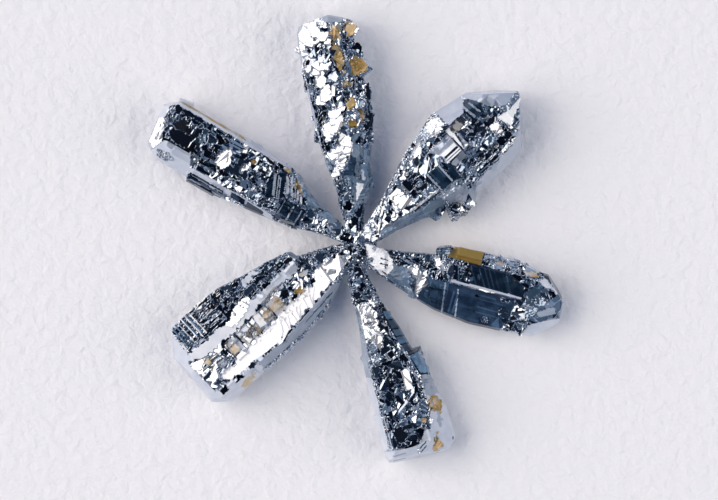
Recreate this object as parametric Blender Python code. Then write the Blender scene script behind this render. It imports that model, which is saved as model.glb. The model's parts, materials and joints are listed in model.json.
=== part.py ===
"""A star of six osmium crystals that grew from one point, as one solid.

Run it with: blender --background --python part.py

Each crystal is a club: a thin root at the hub of the star and a thick hexagonal head. It is lofted through
plan widths and heights, its end is cut by planes as crystal faces are, a hopper is sunk in its upper face,
and ledges, lumps and small sister crystals are fused to it. The star lies on the flats under its heads.

Frame: metres, +Z up, +Y along the longest crystal pair, origin under the middle of the star's box at the
level of the surface that it rests on. Inside a crystal, s runs outwards from the hub, t to the left of that
and z up; across a section, u runs from -1 at the right edge to +1 at the left, and w from 0 at the
underside to 1 at the crest.
"""

import math
import random
from dataclasses import dataclass, field

import bmesh
import bpy
from mathutils import Euler, Matrix, Vector
from mathutils.bvhtree import BVHTree

MM = 0.001
STAR_NAME = "osmium_star"

# The hub of the star, from the middle of the star's own box.
HUB_X = 0.07
HUB_Y = -0.36

# Ledge blocks keep this far above the surface that the star rests on.
BLOCK_CLEARANCE = 0.12
# The knot of small crystals that the six roots share: how many, how far out and between which heights.
KNOT_COUNT = 16
KNOT_REACH = (0.15, 0.85)
KNOT_HEIGHTS = (0.95, 1.45)
KNOT_SEED = 5

OSMIUM_COLOUR = (0.53, 0.59, 0.68, 1.0)
OSMIUM_ROUGHNESS = 0.16


@dataclass(frozen=True)
class FacePlane:
    """A crystal face that cuts an end off: it passes through (s, t, z) and looks along azimuth and elevation."""

    s: float
    t: float
    z: float
    azimuth: float
    elevation: float


@dataclass(frozen=True)
class Hopper:
    """A sunken field in the upper face, with the rim that growth left round it."""

    start: float
    end: float
    right: float
    left: float
    depth: float


@dataclass(frozen=True)
class Ledges:
    """A field of small blocks on the surface, between two places along and across a crystal.

    Blocks that are fused stand proud of the surface by a draw from proud, and blocks that are cut out as pits
    reach as far below it.
    """

    count: int
    start: float
    end: float
    right: float
    left: float
    length: tuple
    width: tuple
    tilt: float
    yaws: tuple = (0.0, 90.0)
    proud: tuple = (0.04, 0.15)


@dataclass(frozen=True)
class Lump:
    """One larger sister crystal, by its middle, its three sizes and its turn."""

    s: float
    t: float
    z: float
    size: tuple
    turn: tuple


@dataclass
class Crystal:
    """One arm of the star, in millimetres."""

    name: str
    bearing: float
    outline: list
    heights: list
    section: list
    faces: list
    hoppers: list = field(default_factory=list)
    ledges: list = field(default_factory=list)
    pits: list = field(default_factory=list)
    lumps: list = field(default_factory=list)
    seed: int = 0


# Stations of outline are (s, right edge, left edge), and those of heights (s, underside, crest).
CRYSTALS = [
    Crystal(
        name="north",
        bearing=97.0,
        outline=[
            (0.0, -0.25, 0.25), (1.5, -0.52, 0.52), (2.2, -0.72, 0.66), (2.8, -1.18, 0.66),
            (3.9, -1.18, 0.95), (5.2, -1.40, 1.25), (6.7, -1.64, 1.42), (8.1, -1.42, 1.55),
            (9.2, -1.42, 1.68), (10.3, -1.18, 1.72), (11.9, -1.15, 1.70),
        ],
        heights=[(0.0, 0.75, 1.45), (2.4, 0.70, 1.75), (4.5, 0.30, 2.25), (6.2, 0.0, 2.60), (11.9, 0.0, 2.75)],
        section=[
            (-0.50, 0.0), (0.55, 0.0), (1.0, 0.46), (0.90, 0.76), (0.30, 0.92), (-0.14, 1.0),
            (-0.62, 0.84), (-0.93, 0.62), (-1.0, 0.42),
        ],
        faces=[
            FacePlane(11.50, 0.6, 1.6, 14.0, 4.0), FacePlane(11.45, -0.5, 1.5, -18.0, 6.0),
            FacePlane(11.20, 0.7, 2.4, 20.0, 38.0), FacePlane(11.00, 1.5, 1.9, 58.0, 12.0),
            FacePlane(11.05, -0.6, 2.4, -30.0, 46.0), FacePlane(11.30, 0.2, 0.35, 4.0, -42.0),
        ],
        ledges=[
            Ledges(20, 0.7, 11.2, -0.05, 0.92, (0.35, 0.80), (0.22, 0.46), 17.0),
            Ledges(17, 2.6, 11.0, -0.95, -0.10, (0.34, 0.75), (0.24, 0.50), 26.0, (0.0, 90.0, 35.0)),
            Ledges(6, 3.0, 10.6, -1.06, -0.94, (0.40, 0.85), (0.30, 0.55), 20.0),
            Ledges(6, 2.4, 10.6, 0.92, 1.06, (0.45, 0.90), (0.25, 0.45), 14.0),
        ],
        pits=[Ledges(8, 3.4, 10.8, -0.90, 0.80, (0.30, 0.70), (0.22, 0.40), 12.0, proud=(0.12, 0.24))],
        lumps=[
            Lump(10.72, -0.98, 2.05, (0.62, 0.66, 0.62), (14.0, -10.0, 40.0)),
            Lump(9.62, -1.08, 1.86, (0.86, 0.60, 0.72), (18.0, 8.0, 12.0)),
            Lump(8.86, -1.30, 1.72, (0.78, 0.72, 0.80), (-12.0, 14.0, 28.0)),
            Lump(7.60, -1.36, 1.50, (0.95, 0.50, 0.95), (8.0, 4.0, 2.0)),
            Lump(2.95, -0.92, 1.30, (0.46, 0.50, 0.42), (10.0, -14.0, 22.0)),
        ],
        seed=11,
    ),
    Crystal(
        name="north_east",
        bearing=43.0,
        outline=[
            (0.0, -0.30, 0.22), (1.5, -0.70, 0.60), (2.5, -0.95, 0.88), (3.6, -1.38, 1.28),
            (4.9, -1.74, 1.76), (6.3, -2.08, 2.08), (7.2, -2.26, 2.30), (8.5, -2.20, 2.05),
            (9.2, -2.12, 1.92), (11.6, -2.10, 1.90),
        ],
        heights=[(0.0, 0.75, 1.40), (2.4, 0.70, 1.80), (4.6, 0.25, 2.45), (6.0, 0.0, 2.85), (11.6, 0.0, 2.95)],
        section=[
            (-0.55, 0.0), (0.50, 0.0), (1.0, 0.42), (0.64, 0.93), (0.05, 1.0), (-0.66, 0.90), (-1.0, 0.44),
        ],
        faces=[
            FacePlane(9.9, 1.30, 1.4, 49.0, 6.0), FacePlane(9.9, -1.42, 1.4, -41.0, 6.0),
            FacePlane(11.10, -0.1, 1.5, -14.0, 8.0), FacePlane(10.35, 0.45, 2.55, 34.0, 52.0),
            FacePlane(10.30, -0.80, 2.45, -34.0, 50.0), FacePlane(10.6, 0.0, 0.4, 4.0, -40.0),
        ],
        hoppers=[Hopper(6.6, 10.0, -0.60, 0.56, 0.16)],
        ledges=[
            Ledges(20, 0.7, 10.2, -0.58, 0.60, (0.34, 0.78), (0.24, 0.50), 22.0),
            Ledges(9, 2.6, 6.8, 0.60, 0.98, (0.34, 0.70), (0.24, 0.46), 22.0, (0.0, 90.0, 45.0)),
            Ledges(8, 3.2, 8.0, -0.96, -0.62, (0.34, 0.70), (0.24, 0.46), 24.0, (0.0, 90.0, 45.0)),
        ],
        pits=[Ledges(8, 3.0, 9.8, -0.60, 0.60, (0.35, 0.75), (0.25, 0.45), 12.0, proud=(0.12, 0.22))],
        lumps=[
            Lump(5.70, -1.98, 1.30, (0.95, 0.80, 0.90), (16.0, 10.0, 34.0)),
            Lump(4.92, -2.02, 1.16, (0.85, 0.86, 0.75), (-14.0, 12.0, -22.0)),
            Lump(5.30, -2.18, 0.85, (0.80, 0.62, 0.80), (8.0, -16.0, 12.0)),
            Lump(4.10, -1.46, 1.22, (0.80, 0.55, 0.70), (10.0, 8.0, 18.0)),
            Lump(6.20, 1.30, 2.35, (0.70, 0.60, 0.60), (12.0, -18.0, 30.0)),
            Lump(7.05, 0.35, 2.72, (1.05, 0.95, 0.42), (3.0, 9.0, 2.0)),
        ],
        seed=23,
    ),
    Crystal(
        name="east",
        bearing=-15.0,
        outline=[
            (0.0, -0.35, 0.20), (1.1, -0.95, 0.18), (1.9, -1.28, 0.28), (2.9, -1.60, 0.44),
            (4.0, -1.95, 0.66), (4.6, -2.12, 1.24), (6.4, -2.34, 1.38), (8.1, -2.26, 1.40),
            (9.3, -2.12, 1.12), (11.2, -2.10, 1.10),
        ],
        heights=[(0.0, 0.75, 1.40), (1.8, 0.60, 1.75), (3.9, 0.30, 2.15), (4.8, 0.0, 2.60), (11.2, 0.0, 2.70)],
        section=[
            (-0.50, 0.0), (0.45, 0.0), (1.0, 0.44), (0.94, 0.60), (0.55, 0.97), (0.04, 1.0), (-0.93, 0.52),
            (-1.0, 0.36),
        ],
        faces=[
            FacePlane(10.25, 0.40, 1.5, 43.0, 8.0), FacePlane(10.72, -0.70, 1.4, 2.0, 6.0),
            FacePlane(10.15, -1.60, 1.2, -48.0, 10.0), FacePlane(9.75, -0.55, 2.45, 6.0, 46.0),
            FacePlane(9.85, -1.35, 1.9, -34.0, 42.0), FacePlane(9.70, 0.45, 2.30, 40.0, 44.0),
            FacePlane(10.3, -0.5, 0.35, 0.0, -42.0),
        ],
        ledges=[
            Ledges(12, 0.9, 5.6, -0.40, 0.92, (0.30, 0.66), (0.22, 0.42), 22.0, (0.0, 90.0, 40.0)),
            Ledges(11, 6.0, 9.7, 0.55, 0.98, (0.32, 0.70), (0.22, 0.44), 22.0, (0.0, 90.0, 40.0)),
            Ledges(6, 7.6, 9.8, -0.96, -0.40, (0.30, 0.62), (0.22, 0.42), 18.0),
            Ledges(6, 2.2, 4.4, -0.98, -0.45, (0.34, 0.66), (0.22, 0.42), 18.0),
        ],
        pits=[Ledges(5, 2.0, 9.2, 0.10, 0.85, (0.30, 0.65), (0.22, 0.40), 12.0, proud=(0.10, 0.20))],
        lumps=[
            Lump(1.20, -0.42, 1.46, (0.92, 0.92, 0.62), (9.0, -13.0, 14.0)),
            Lump(3.05, -0.72, 1.86, (0.55, 1.25, 0.70), (6.0, -24.0, -16.0)),
            Lump(4.30, 0.80, 1.72, (0.70, 0.62, 0.95), (6.0, -12.0, 22.0)),
            Lump(5.62, 0.92, 1.86, (1.62, 0.52, 0.90), (-24.0, 0.0, 1.0)),
            Lump(4.62, -1.20, 1.62, (0.24, 1.30, 0.90), (24.0, 3.0, 10.0)),
        ],
        seed=37,
    ),
    Crystal(
        name="south",
        bearing=-75.0,
        outline=[
            (0.0, -0.35, 0.10), (1.3, -0.90, 0.14), (2.5, -0.95, 0.32), (3.4, -0.90, 0.60),
            (4.4, -1.02, 1.00), (5.7, -1.22, 1.36), (6.0, -1.26, 1.78), (7.7, -1.32, 1.96),
            (8.9, -1.36, 2.26), (10.3, -1.38, 2.30), (11.5, -1.38, 2.26),
        ],
        heights=[(0.0, 0.75, 1.35), (2.4, 0.70, 1.70), (4.5, 0.30, 2.15), (6.2, 0.0, 2.50), (11.5, 0.0, 2.65)],
        section=[
            (-0.55, 0.0), (0.50, 0.0), (1.0, 0.40), (0.92, 0.56), (0.36, 0.96), (-0.70, 1.0), (-1.0, 0.46),
        ],
        faces=[
            FacePlane(11.02, 0.5, 1.0, -3.0, 10.0), FacePlane(10.80, 2.0, 1.2, 46.0, 8.0),
            FacePlane(10.42, 0.1, 2.50, 3.0, 50.0), FacePlane(10.75, -1.30, 1.2, -58.0, 8.0),
            FacePlane(10.7, 0.4, 0.35, 0.0, -42.0),
        ],
        hoppers=[Hopper(6.0, 10.3, -0.62, 0.30, 0.14)],
        ledges=[
            Ledges(24, 0.8, 10.2, -0.62, 0.34, (0.32, 0.66), (0.22, 0.44), 22.0, (0.0, 90.0, 45.0)),
            Ledges(14, 2.2, 8.0, 0.40, 0.98, (0.42, 0.85), (0.26, 0.50), 14.0),
            Ledges(4, 2.6, 9.8, -1.04, -0.94, (0.45, 0.85), (0.25, 0.45), 10.0),
        ],
        pits=[Ledges(8, 2.4, 10.0, -0.60, 0.34, (0.30, 0.60), (0.22, 0.40), 14.0, proud=(0.12, 0.22))],
        lumps=[
            Lump(6.20, 1.42, 1.30, (0.95, 0.62, 1.10), (10.0, 6.0, 4.0)),
            Lump(7.05, 1.52, 1.30, (0.80, 0.66, 1.00), (4.0, -8.0, -8.0)),
            Lump(10.05, 0.20, 2.42, (0.60, 0.60, 0.45), (35.0, 30.0, 45.0)),
        ],
        seed=41,
    ),
    Crystal(
        name="south_west",
        bearing=224.0,
        outline=[
            (0.0, -0.30, 0.20), (1.3, -1.10, 0.58), (2.4, -1.65, 0.95), (3.1, -2.35, 1.24),
            (3.9, -2.60, 1.32), (5.3, -2.98, 1.46), (6.5, -3.36, 1.42), (7.9, -3.50, 1.32),
            (9.5, -3.50, 1.28), (11.1, -3.48, 1.26),
        ],
        heights=[(0.0, 0.75, 1.45), (1.8, 0.65, 1.80), (4.2, 0.25, 2.35), (5.4, 0.0, 2.70), (11.1, 0.0, 2.75)],
        section=[
            (-0.60, 0.0), (0.45, 0.0), (1.0, 0.42), (0.94, 0.62), (0.72, 1.0), (-0.10, 0.83), (-0.34, 0.79),
            (-0.94, 0.50), (-1.0, 0.40),
        ],
        faces=[
            FacePlane(10.60, -0.90, 1.0, -4.0, 10.0), FacePlane(10.10, -2.80, 1.0, -40.0, 8.0),
            FacePlane(10.30, 0.90, 1.0, 46.0, 8.0), FacePlane(9.95, -0.70, 2.50, -2.0, 44.0),
            FacePlane(9.70, -2.60, 1.70, -34.0, 36.0), FacePlane(10.1, -1.1, 0.35, 0.0, -42.0),
        ],
        hoppers=[Hopper(3.4, 9.6, 0.10, 0.34, 0.16)],
        ledges=[
            Ledges(28, 1.0, 9.7, -0.97, -0.36, (0.34, 0.76), (0.22, 0.46), 14.0),
            Ledges(11, 2.4, 9.9, 0.08, 0.36, (0.26, 0.50), (0.24, 0.42), 14.0),
            Ledges(7, 1.6, 9.6, 0.74, 1.02, (0.38, 0.72), (0.22, 0.40), 14.0),
        ],
        pits=[Ledges(6, 3.0, 9.4, -0.92, -0.40, (0.35, 0.75), (0.25, 0.42), 8.0, proud=(0.10, 0.20))],
        lumps=[
            Lump(3.10, -1.75, 1.55, (1.05, 0.80, 0.85), (16.0, 5.0, 4.0)),
            Lump(9.30, -2.95, 1.40, (0.75, 0.75, 0.80), (12.0, 4.0, 3.0)),
            Lump(1.75, -0.78, 1.52, (0.95, 0.62, 0.60), (12.0, -5.0, -6.0)),
        ],
        seed=53,
    ),
    Crystal(
        name="north_west",
        bearing=150.0,
        outline=[
            (0.0, -0.28, 0.15), (1.4, -0.62, 0.30), (2.4, -0.88, 0.54), (3.3, -1.10, 0.80),
            (4.2, -1.64, 1.00), (5.0, -1.84, 1.10), (6.6, -1.90, 1.28), (7.8, -1.92, 1.44),
            (8.9, -1.94, 1.44), (9.1, -1.94, 1.28), (12.5, -1.96, 1.28),
        ],
        heights=[(0.0, 0.75, 1.40), (2.4, 0.70, 1.75), (4.4, 0.25, 2.30), (5.8, 0.0, 2.60), (12.5, 0.0, 2.65)],
        section=[
            (-0.55, 0.0), (0.50, 0.0), (1.0, 0.40), (0.94, 0.54), (0.60, 0.95), (0.42, 1.0), (-0.78, 0.98),
            (-1.0, 0.46),
        ],
        faces=[
            FacePlane(11.82, -0.50, 1.2, 8.0, 8.0), FacePlane(11.42, -1.70, 1.2, -50.0, 8.0),
            FacePlane(11.45, 0.85, 1.2, 54.0, 10.0), FacePlane(11.20, -0.55, 2.45, 8.0, 40.0),
            FacePlane(10.60, 0.72, 2.25, 48.0, 44.0), FacePlane(11.5, -0.4, 0.35, 4.0, -42.0),
        ],
        hoppers=[Hopper(3.6, 11.0, -0.70, 0.38, 0.15)],
        ledges=[
            Ledges(28, 0.7, 10.9, -0.74, 0.42, (0.30, 0.66), (0.20, 0.42), 22.0, (0.0, 90.0, 45.0)),
            Ledges(11, 2.4, 9.0, 0.66, 1.02, (0.50, 1.00), (0.20, 0.36), 10.0, (0.0,)),
            Ledges(4, 4.6, 11.0, -1.03, -0.96, (0.60, 1.10), (0.25, 0.40), 6.0, (0.0,)),
        ],
        pits=[Ledges(10, 2.4, 10.6, -0.70, 0.40, (0.30, 0.65), (0.22, 0.40), 14.0, proud=(0.12, 0.22))],
        lumps=[
            Lump(8.30, 1.20, 1.20, (1.60, 0.46, 0.70), (10.0, 0.0, 0.5)),
            Lump(3.70, 0.30, 1.86, (0.90, 0.90, 0.55), (8.0, 4.0, 10.0)),
        ],
        seed=67,
    ),
]


def between(stations, s):
    """The values of a list of stations at s, on straight lines from station to station."""
    if s <= stations[0][0]:
        return stations[0][1:]
    for before, after in zip(stations, stations[1:]):
        if s <= after[0]:
            share = (s - before[0]) / (after[0] - before[0])
            return tuple(a + (b - a) * share for a, b in zip(before[1:], after[1:]))
    return stations[-1][1:]


def place_in_section(crystal, s, u, w):
    """The point of a crystal's own frame at s, u across and w up."""
    right, left = between(crystal.outline, s)
    low, high = between(crystal.heights, s)
    middle = (left + right) / 2
    half = (left - right) / 2
    return Vector((s, middle + u * half, low + w * (high - low)))


def direction(azimuth, elevation):
    """The unit vector at an azimuth from the crystal's own axis and an elevation above the horizon."""
    a, e = math.radians(azimuth), math.radians(elevation)
    return Vector((math.cos(e) * math.cos(a), math.cos(e) * math.sin(a), math.sin(e)))


def new_object(name, mesh_data, collection):
    """An object on a bmesh, which is freed."""
    mesh = bpy.data.meshes.new(name)
    mesh_data.to_mesh(mesh)
    mesh_data.free()
    made = bpy.data.objects.new(name, mesh)
    collection.objects.link(made)
    return made


def lofted_body(crystal):
    """The club of a crystal: its section carried through every station, and closed at both ends."""
    body = bmesh.new()
    stations = sorted({row[0] for row in crystal.outline} | {row[0] for row in crystal.heights})
    rings = []
    for s in stations:
        rings.append([body.verts.new(place_in_section(crystal, s, u, w)) for u, w in crystal.section])
    for ring, following in zip(rings, rings[1:]):
        for i in range(len(ring)):
            j = (i + 1) % len(ring)
            body.faces.new((ring[i], ring[j], following[j], following[i]))
    body.faces.new(rings[0])
    body.faces.new(rings[-1])
    bmesh.ops.recalc_face_normals(body, faces=body.faces)
    return body


def cut_by_faces(body, faces):
    """Cuts off what lies outside each plane, and closes the cut with one flat face."""
    for face in faces:
        cut = bmesh.ops.bisect_plane(
            body,
            geom=body.verts[:] + body.edges[:] + body.faces[:],
            plane_co=Vector((face.s, face.t, face.z)),
            plane_no=direction(face.azimuth, face.elevation),
            clear_outer=True,
        )
        rim = [part for part in cut["geom_cut"] if isinstance(part, bmesh.types.BMEdge)]
        bmesh.ops.edgeloop_fill(body, edges=rim)
    bmesh.ops.recalc_face_normals(body, faces=body.faces)


def hopper_cutter(crystal, hopper):
    """The solid that a hopper takes out: the field's outline, from its floor to clear of the crest."""
    rows = [row[0] for row in crystal.outline if hopper.start < row[0] < hopper.end]
    along = [hopper.start, *rows, hopper.end]
    cutter = bmesh.new()
    floors, tops = [], []
    for u in (hopper.right, hopper.left):
        for s in along if u == hopper.right else reversed(along):
            floor = place_in_section(crystal, s, u, surface_share(crystal, u))
            floor.z -= hopper.depth
            floors.append(cutter.verts.new(floor))
            tops.append(cutter.verts.new(floor + Vector((0, 0, 1.5))))
    for i in range(len(floors)):
        j = (i + 1) % len(floors)
        cutter.faces.new((floors[i], floors[j], tops[j], tops[i]))
    cutter.faces.new(floors)
    cutter.faces.new(tops)
    bmesh.ops.triangulate(cutter, faces=[f for f in cutter.faces if len(f.verts) > 4])
    bmesh.ops.recalc_face_normals(cutter, faces=cutter.faces)
    return cutter


def surface_share(crystal, u):
    """How far up the section its upper side is at u."""
    upper = sorted(point for point in crystal.section if point[1] >= 0.3)
    for before, after in zip(upper, upper[1:]):
        if before[0] <= u <= after[0] and after[0] > before[0]:
            return before[1] + (after[1] - before[1]) * (u - before[0]) / (after[0] - before[0])
    return upper[0][1] if u < upper[0][0] else upper[-1][1]


def block(size, turn, middle):
    """A small crystal: a cube with one end drawn in a little, at its size, turn and place."""
    made = bmesh.new()
    bmesh.ops.create_cube(made, size=1.0)
    for vert in made.verts:
        if vert.co.z > 0:
            vert.co.x *= 0.82
            vert.co.y *= 0.88
    matrix = Matrix.Translation(middle) @ turn.to_matrix().to_4x4() @ Matrix.Diagonal((*size, 1.0))
    bmesh.ops.transform(made, matrix=matrix, verts=made.verts)
    return made


def lump_block(lump):
    """The block of one stated lump."""
    turn = Euler([math.radians(angle) for angle in lump.turn])
    return block(lump.size, turn, Vector((lump.s, lump.t, lump.z)))


def ledge_blocks(crystal, surface, field_of, draw, side):
    """The blocks of one field: each lies along its face, a little turned, on side 1 to fuse or -1 to cut."""
    blocks = []
    while len(blocks) < field_of.count:
        s = draw.uniform(field_of.start, field_of.end)
        u = draw.uniform(field_of.right, field_of.left)
        if abs(u) < 0.93:
            start, look = place_in_section(crystal, s, u, 2.0), Vector((0, 0, -1))
        else:
            w = draw.uniform(0.35, 0.75)
            start, look = place_in_section(crystal, s, math.copysign(2.0, u), w), Vector((0, -math.copysign(1, u), 0))
        place, normal, _, _ = surface.ray_cast(start, look)
        if place is None:
            continue
        growth = 0.55 + 0.45 * min(1.0, s / 5.0)
        size = Vector((draw.uniform(*field_of.length), draw.uniform(*field_of.width), 0)) * growth
        size.z = (0.5 if side > 0 else 1.0) * (size.x + size.y) * draw.uniform(0.7, 1.1)
        yaw = draw.choice(field_of.yaws) + draw.gauss(0, 7.0)
        tilts = [draw.gauss(0, field_of.tilt) for _ in range(2)]
        upright = normal.to_track_quat("Z", "X").to_matrix()
        along = upright.inverted() @ Vector((1, 0, 0))
        level = Matrix.Rotation(math.atan2(along.y, along.x) + math.radians(yaw), 3, "Z")
        tilt = Euler([math.radians(angle) for angle in (*tilts, 0.0)]).to_matrix()
        turn = (upright @ level @ tilt).to_quaternion()
        middle = place - normal * side * (size.z / 2 - draw.uniform(*field_of.proud))
        made = block(size, turn, middle)
        if min(vert.co.z for vert in made.verts) < BLOCK_CLEARANCE:
            made.free()
            continue
        blocks.append(made)
    return blocks


def combine(target, tool, operation, solver="EXACT"):
    """Applies a Boolean of tool to target, and removes tool."""
    modifier = target.modifiers.new("combine", "BOOLEAN")
    modifier.operation = operation
    modifier.object = tool
    modifier.solver = solver
    graph = bpy.context.evaluated_depsgraph_get()
    mesh = bpy.data.meshes.new_from_object(target.evaluated_get(graph))
    target.modifiers.clear()
    worn = target.data
    target.data = mesh
    bpy.data.meshes.remove(worn)
    bpy.data.objects.remove(tool)


def work_blocks(target, blocks, operation, collection):
    """Fuses or cuts small blocks one at a time.

    Hundreds of blocks that cross each other leave the exact solver with edges shared by four faces, so these
    steps use the manifold one.
    """
    for made in blocks:
        combine(target, new_object("block", made, collection), operation, "MANIFOLD")


def build_crystal(crystal, collection):
    """One crystal of the star, fused from its body, its lumps and its ledges, and turned to its bearing."""
    body = lofted_body(crystal)
    cut_by_faces(body, crystal.faces)
    made = new_object(crystal.name, body, collection)
    for hopper in crystal.hoppers:
        combine(made, new_object("hopper", hopper_cutter(crystal, hopper), collection), "DIFFERENCE")
    surface_mesh = bmesh.new()
    surface_mesh.from_mesh(made.data)
    surface = BVHTree.FromBMesh(surface_mesh)
    surface_mesh.free()
    draw = random.Random(crystal.seed)
    blocks = [lump_block(lump) for lump in crystal.lumps]
    for field_of in crystal.ledges:
        blocks += ledge_blocks(crystal, surface, field_of, draw, 1)
    work_blocks(made, blocks, "UNION", collection)
    for field_of in crystal.pits:
        work_blocks(made, ledge_blocks(crystal, surface, field_of, draw, -1), "DIFFERENCE", collection)
    made.data.transform(Matrix.Rotation(math.radians(crystal.bearing), 4, "Z"))
    return made


def hub_knot():
    """The small crystals at the hub, which fill the corners between the roots."""
    draw = random.Random(KNOT_SEED)
    blocks = []
    for _ in range(KNOT_COUNT):
        bearing = draw.uniform(0.0, 2 * math.pi)
        reach = draw.uniform(*KNOT_REACH)
        middle = Vector((reach * math.cos(bearing), reach * math.sin(bearing), draw.uniform(*KNOT_HEIGHTS)))
        size = Vector((draw.uniform(0.5, 0.9), draw.uniform(0.35, 0.55), draw.uniform(0.4, 0.7)))
        turn = Euler((draw.gauss(0, 0.35), draw.gauss(0, 0.35), bearing))
        blocks.append(block(size, turn, middle))
    return blocks


def keep_outer_skin(obj):
    """Removes the closed pockets that blocks leave between them, and keeps the one outer skin."""
    mesh = bmesh.new()
    mesh.from_mesh(obj.data)
    unseen = set(mesh.faces)
    shells = []
    while unseen:
        shell, front = set(), [unseen.pop()]
        while front:
            face = front.pop()
            shell.add(face)
            for edge in face.edges:
                for beside in edge.link_faces:
                    if beside in unseen:
                        unseen.discard(beside)
                        front.append(beside)
        shells.append(shell)
    outer = max(shells, key=len)
    inner = [face for face in mesh.faces if face not in outer]
    bmesh.ops.delete(mesh, geom=inner, context="FACES")
    mesh.to_mesh(obj.data)
    mesh.free()


def osmium():
    """Bluish bright metal."""
    material = bpy.data.materials.new("osmium")
    material.use_nodes = True
    shader = material.node_tree.nodes["Principled BSDF"]
    shader.inputs["Base Color"].default_value = OSMIUM_COLOUR
    shader.inputs["Roughness"].default_value = OSMIUM_ROUGHNESS
    shader.inputs["Metallic"].default_value = 1.0
    return material


def clear_scene():
    """Empties the scene that the file was opened with."""
    for obj in list(bpy.data.objects):
        bpy.data.objects.remove(obj, do_unlink=True)


def main():
    """Builds the six crystals, fuses them at the hub, and stands the star on its frame in metres."""
    clear_scene()
    collection = bpy.data.collections.new(STAR_NAME)
    bpy.context.scene.collection.children.link(collection)
    crystals = [build_crystal(crystal, collection) for crystal in CRYSTALS]
    star = crystals[0]
    for crystal in crystals[1:]:
        combine(star, crystal, "UNION", "MANIFOLD")
    work_blocks(star, hub_knot(), "UNION", collection)
    keep_outer_skin(star)
    star.name = STAR_NAME
    star.data.name = STAR_NAME
    star.data.transform(Matrix.Scale(MM, 4) @ Matrix.Translation((HUB_X, HUB_Y, 0.0)))
    star.data.materials.clear()
    star.data.materials.append(osmium())


main()
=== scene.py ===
"""A star of six osmium crystals on pale paper, dressed around its solid.

Each crystal of the solid becomes one piece. Its skin is rebuilt as a fine net and then broken into hundreds
of small flat crystal faces. They lie in families, as they do on a grown crystal: some are level, some lean to
the light and some lean away from it. Fields along and across each crystal say which families grow there, how
large the faces are, and where the faces carry painted sheen, a pale matte colour that stands in for mirrored
light, painted shade, a blue to black colour that stands in for mirrored shade, or a gold tint.

Lengths are in millimetres until a piece is finished, and then in metres. Inside a crystal, s runs outwards
from the hub, t to the left of that and z up.
"""

import json
import logging
import math
from dataclasses import dataclass, replace
from enum import Enum

import bpy
import numpy as np
from mathutils import Matrix, Vector
from mathutils.kdtree import KDTree

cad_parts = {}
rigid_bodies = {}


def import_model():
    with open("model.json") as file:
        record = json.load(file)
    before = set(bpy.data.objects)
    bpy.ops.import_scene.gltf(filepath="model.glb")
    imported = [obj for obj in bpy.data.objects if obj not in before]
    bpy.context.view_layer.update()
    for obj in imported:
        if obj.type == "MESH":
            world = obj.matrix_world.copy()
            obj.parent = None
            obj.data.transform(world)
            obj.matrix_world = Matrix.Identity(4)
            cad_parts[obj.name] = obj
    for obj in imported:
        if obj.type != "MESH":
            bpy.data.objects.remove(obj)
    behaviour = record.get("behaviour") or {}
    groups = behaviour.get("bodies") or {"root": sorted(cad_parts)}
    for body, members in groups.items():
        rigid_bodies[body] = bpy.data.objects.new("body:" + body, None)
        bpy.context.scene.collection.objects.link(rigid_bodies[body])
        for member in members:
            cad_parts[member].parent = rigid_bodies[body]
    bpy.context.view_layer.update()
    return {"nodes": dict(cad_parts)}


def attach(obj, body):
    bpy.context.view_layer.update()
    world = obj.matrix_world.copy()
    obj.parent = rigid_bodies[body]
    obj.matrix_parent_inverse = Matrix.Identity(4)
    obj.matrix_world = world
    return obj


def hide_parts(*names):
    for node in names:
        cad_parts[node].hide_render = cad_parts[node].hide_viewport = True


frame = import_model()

logging.basicConfig(level=logging.INFO, format="%(message)s")
LOG = logging.getLogger("osmium_star")
Socket = bpy.types.NodeSocket

MM = 0.001
NODE = "osmium_star"
HUB = (0.07, -0.36)
LOOKS = ("painted_sheen", "tone", "painted_shade", "gold")

# The cut of the solid and the net that a crystal's skin is rebuilt as. The blocks fade out where the skin
# turns down and near the paper.
WELD = 0.0005
SECTOR_OVERLAP = 0.12
NET_PITCH = 0.042
SOFTENING = 8
FADE_UP = (-0.1, 0.6)
FADE_HEIGHT = (0.15, 0.3)
UNFADED = 0.99

# Where the blocks may lie on the skin, and where its flanks and stems are.
LEAST_SLOPE = 0.12
MOST_LIFT = 0.08
EDGE_WANDER = 0.16
FLANK_UP = 0.3
STEM_END = 4.5

# The two ways to split a quad, as the places of its corners.
DIAGONALS = ([0, 1, 2, 0, 2, 3], [1, 2, 3, 1, 3, 0])

# How much chance varies the blocks.
SIZE_SPREAD = 0.25
HEADING_SPREAD = 0.08
FREE_TURN, HELD_TURN = 0.3, 0.05
SIDE_REACH = (0.45, 0.65)
CAP_SLOPE = (0.3, 1.0)
CAP_SINK, MOST_SINK = 0.3, 1.2
CAP_SHIFT = 0.25
FREEDOM = 0.15
PAINTED_SHADE_SHARE = (0.6, 1.0)
GOLD_SHARE = (0.35, 1.0)
FREE_NEAREST, HELD_NEAREST = 12, 8

# The first fields of a crystal are the ground, the flanks and the flanks of its stem.
GROUND, ON_FLANK, ON_STEM, FIRST_FIELD = range(4)

# Small fields.
SPOT_CORNERS = 8
LINE_SHIFT = 0.3
LINE_HALF = (0.35, 0.65)
LINE_SHORTER = 0.12

# Where a colour Mix node has its first colour and its result.
COLOUR_INPUT, COLOUR_OUTPUT = 6, 2


class Lean(Enum):
    """Which way the small faces of a family lean: an azimuth range and a tilt range, in degrees."""

    BRIGHT = ((128.0, 172.0), (12.0, 22.0))
    SILVER = ((95.0, 215.0), (20.0, 34.0))
    LEVEL = ((-110.0, 70.0), (1.0, 5.0))
    AWAY = ((-120.0, 50.0), (7.0, 15.0))
    STEEP = ((-130.0, 60.0), (18.0, 27.0))
    PALE = ((-180.0, 180.0), (33.0, 40.0))
    OWN = ((0.0, 0.0), (0.0, 0.0))


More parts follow.
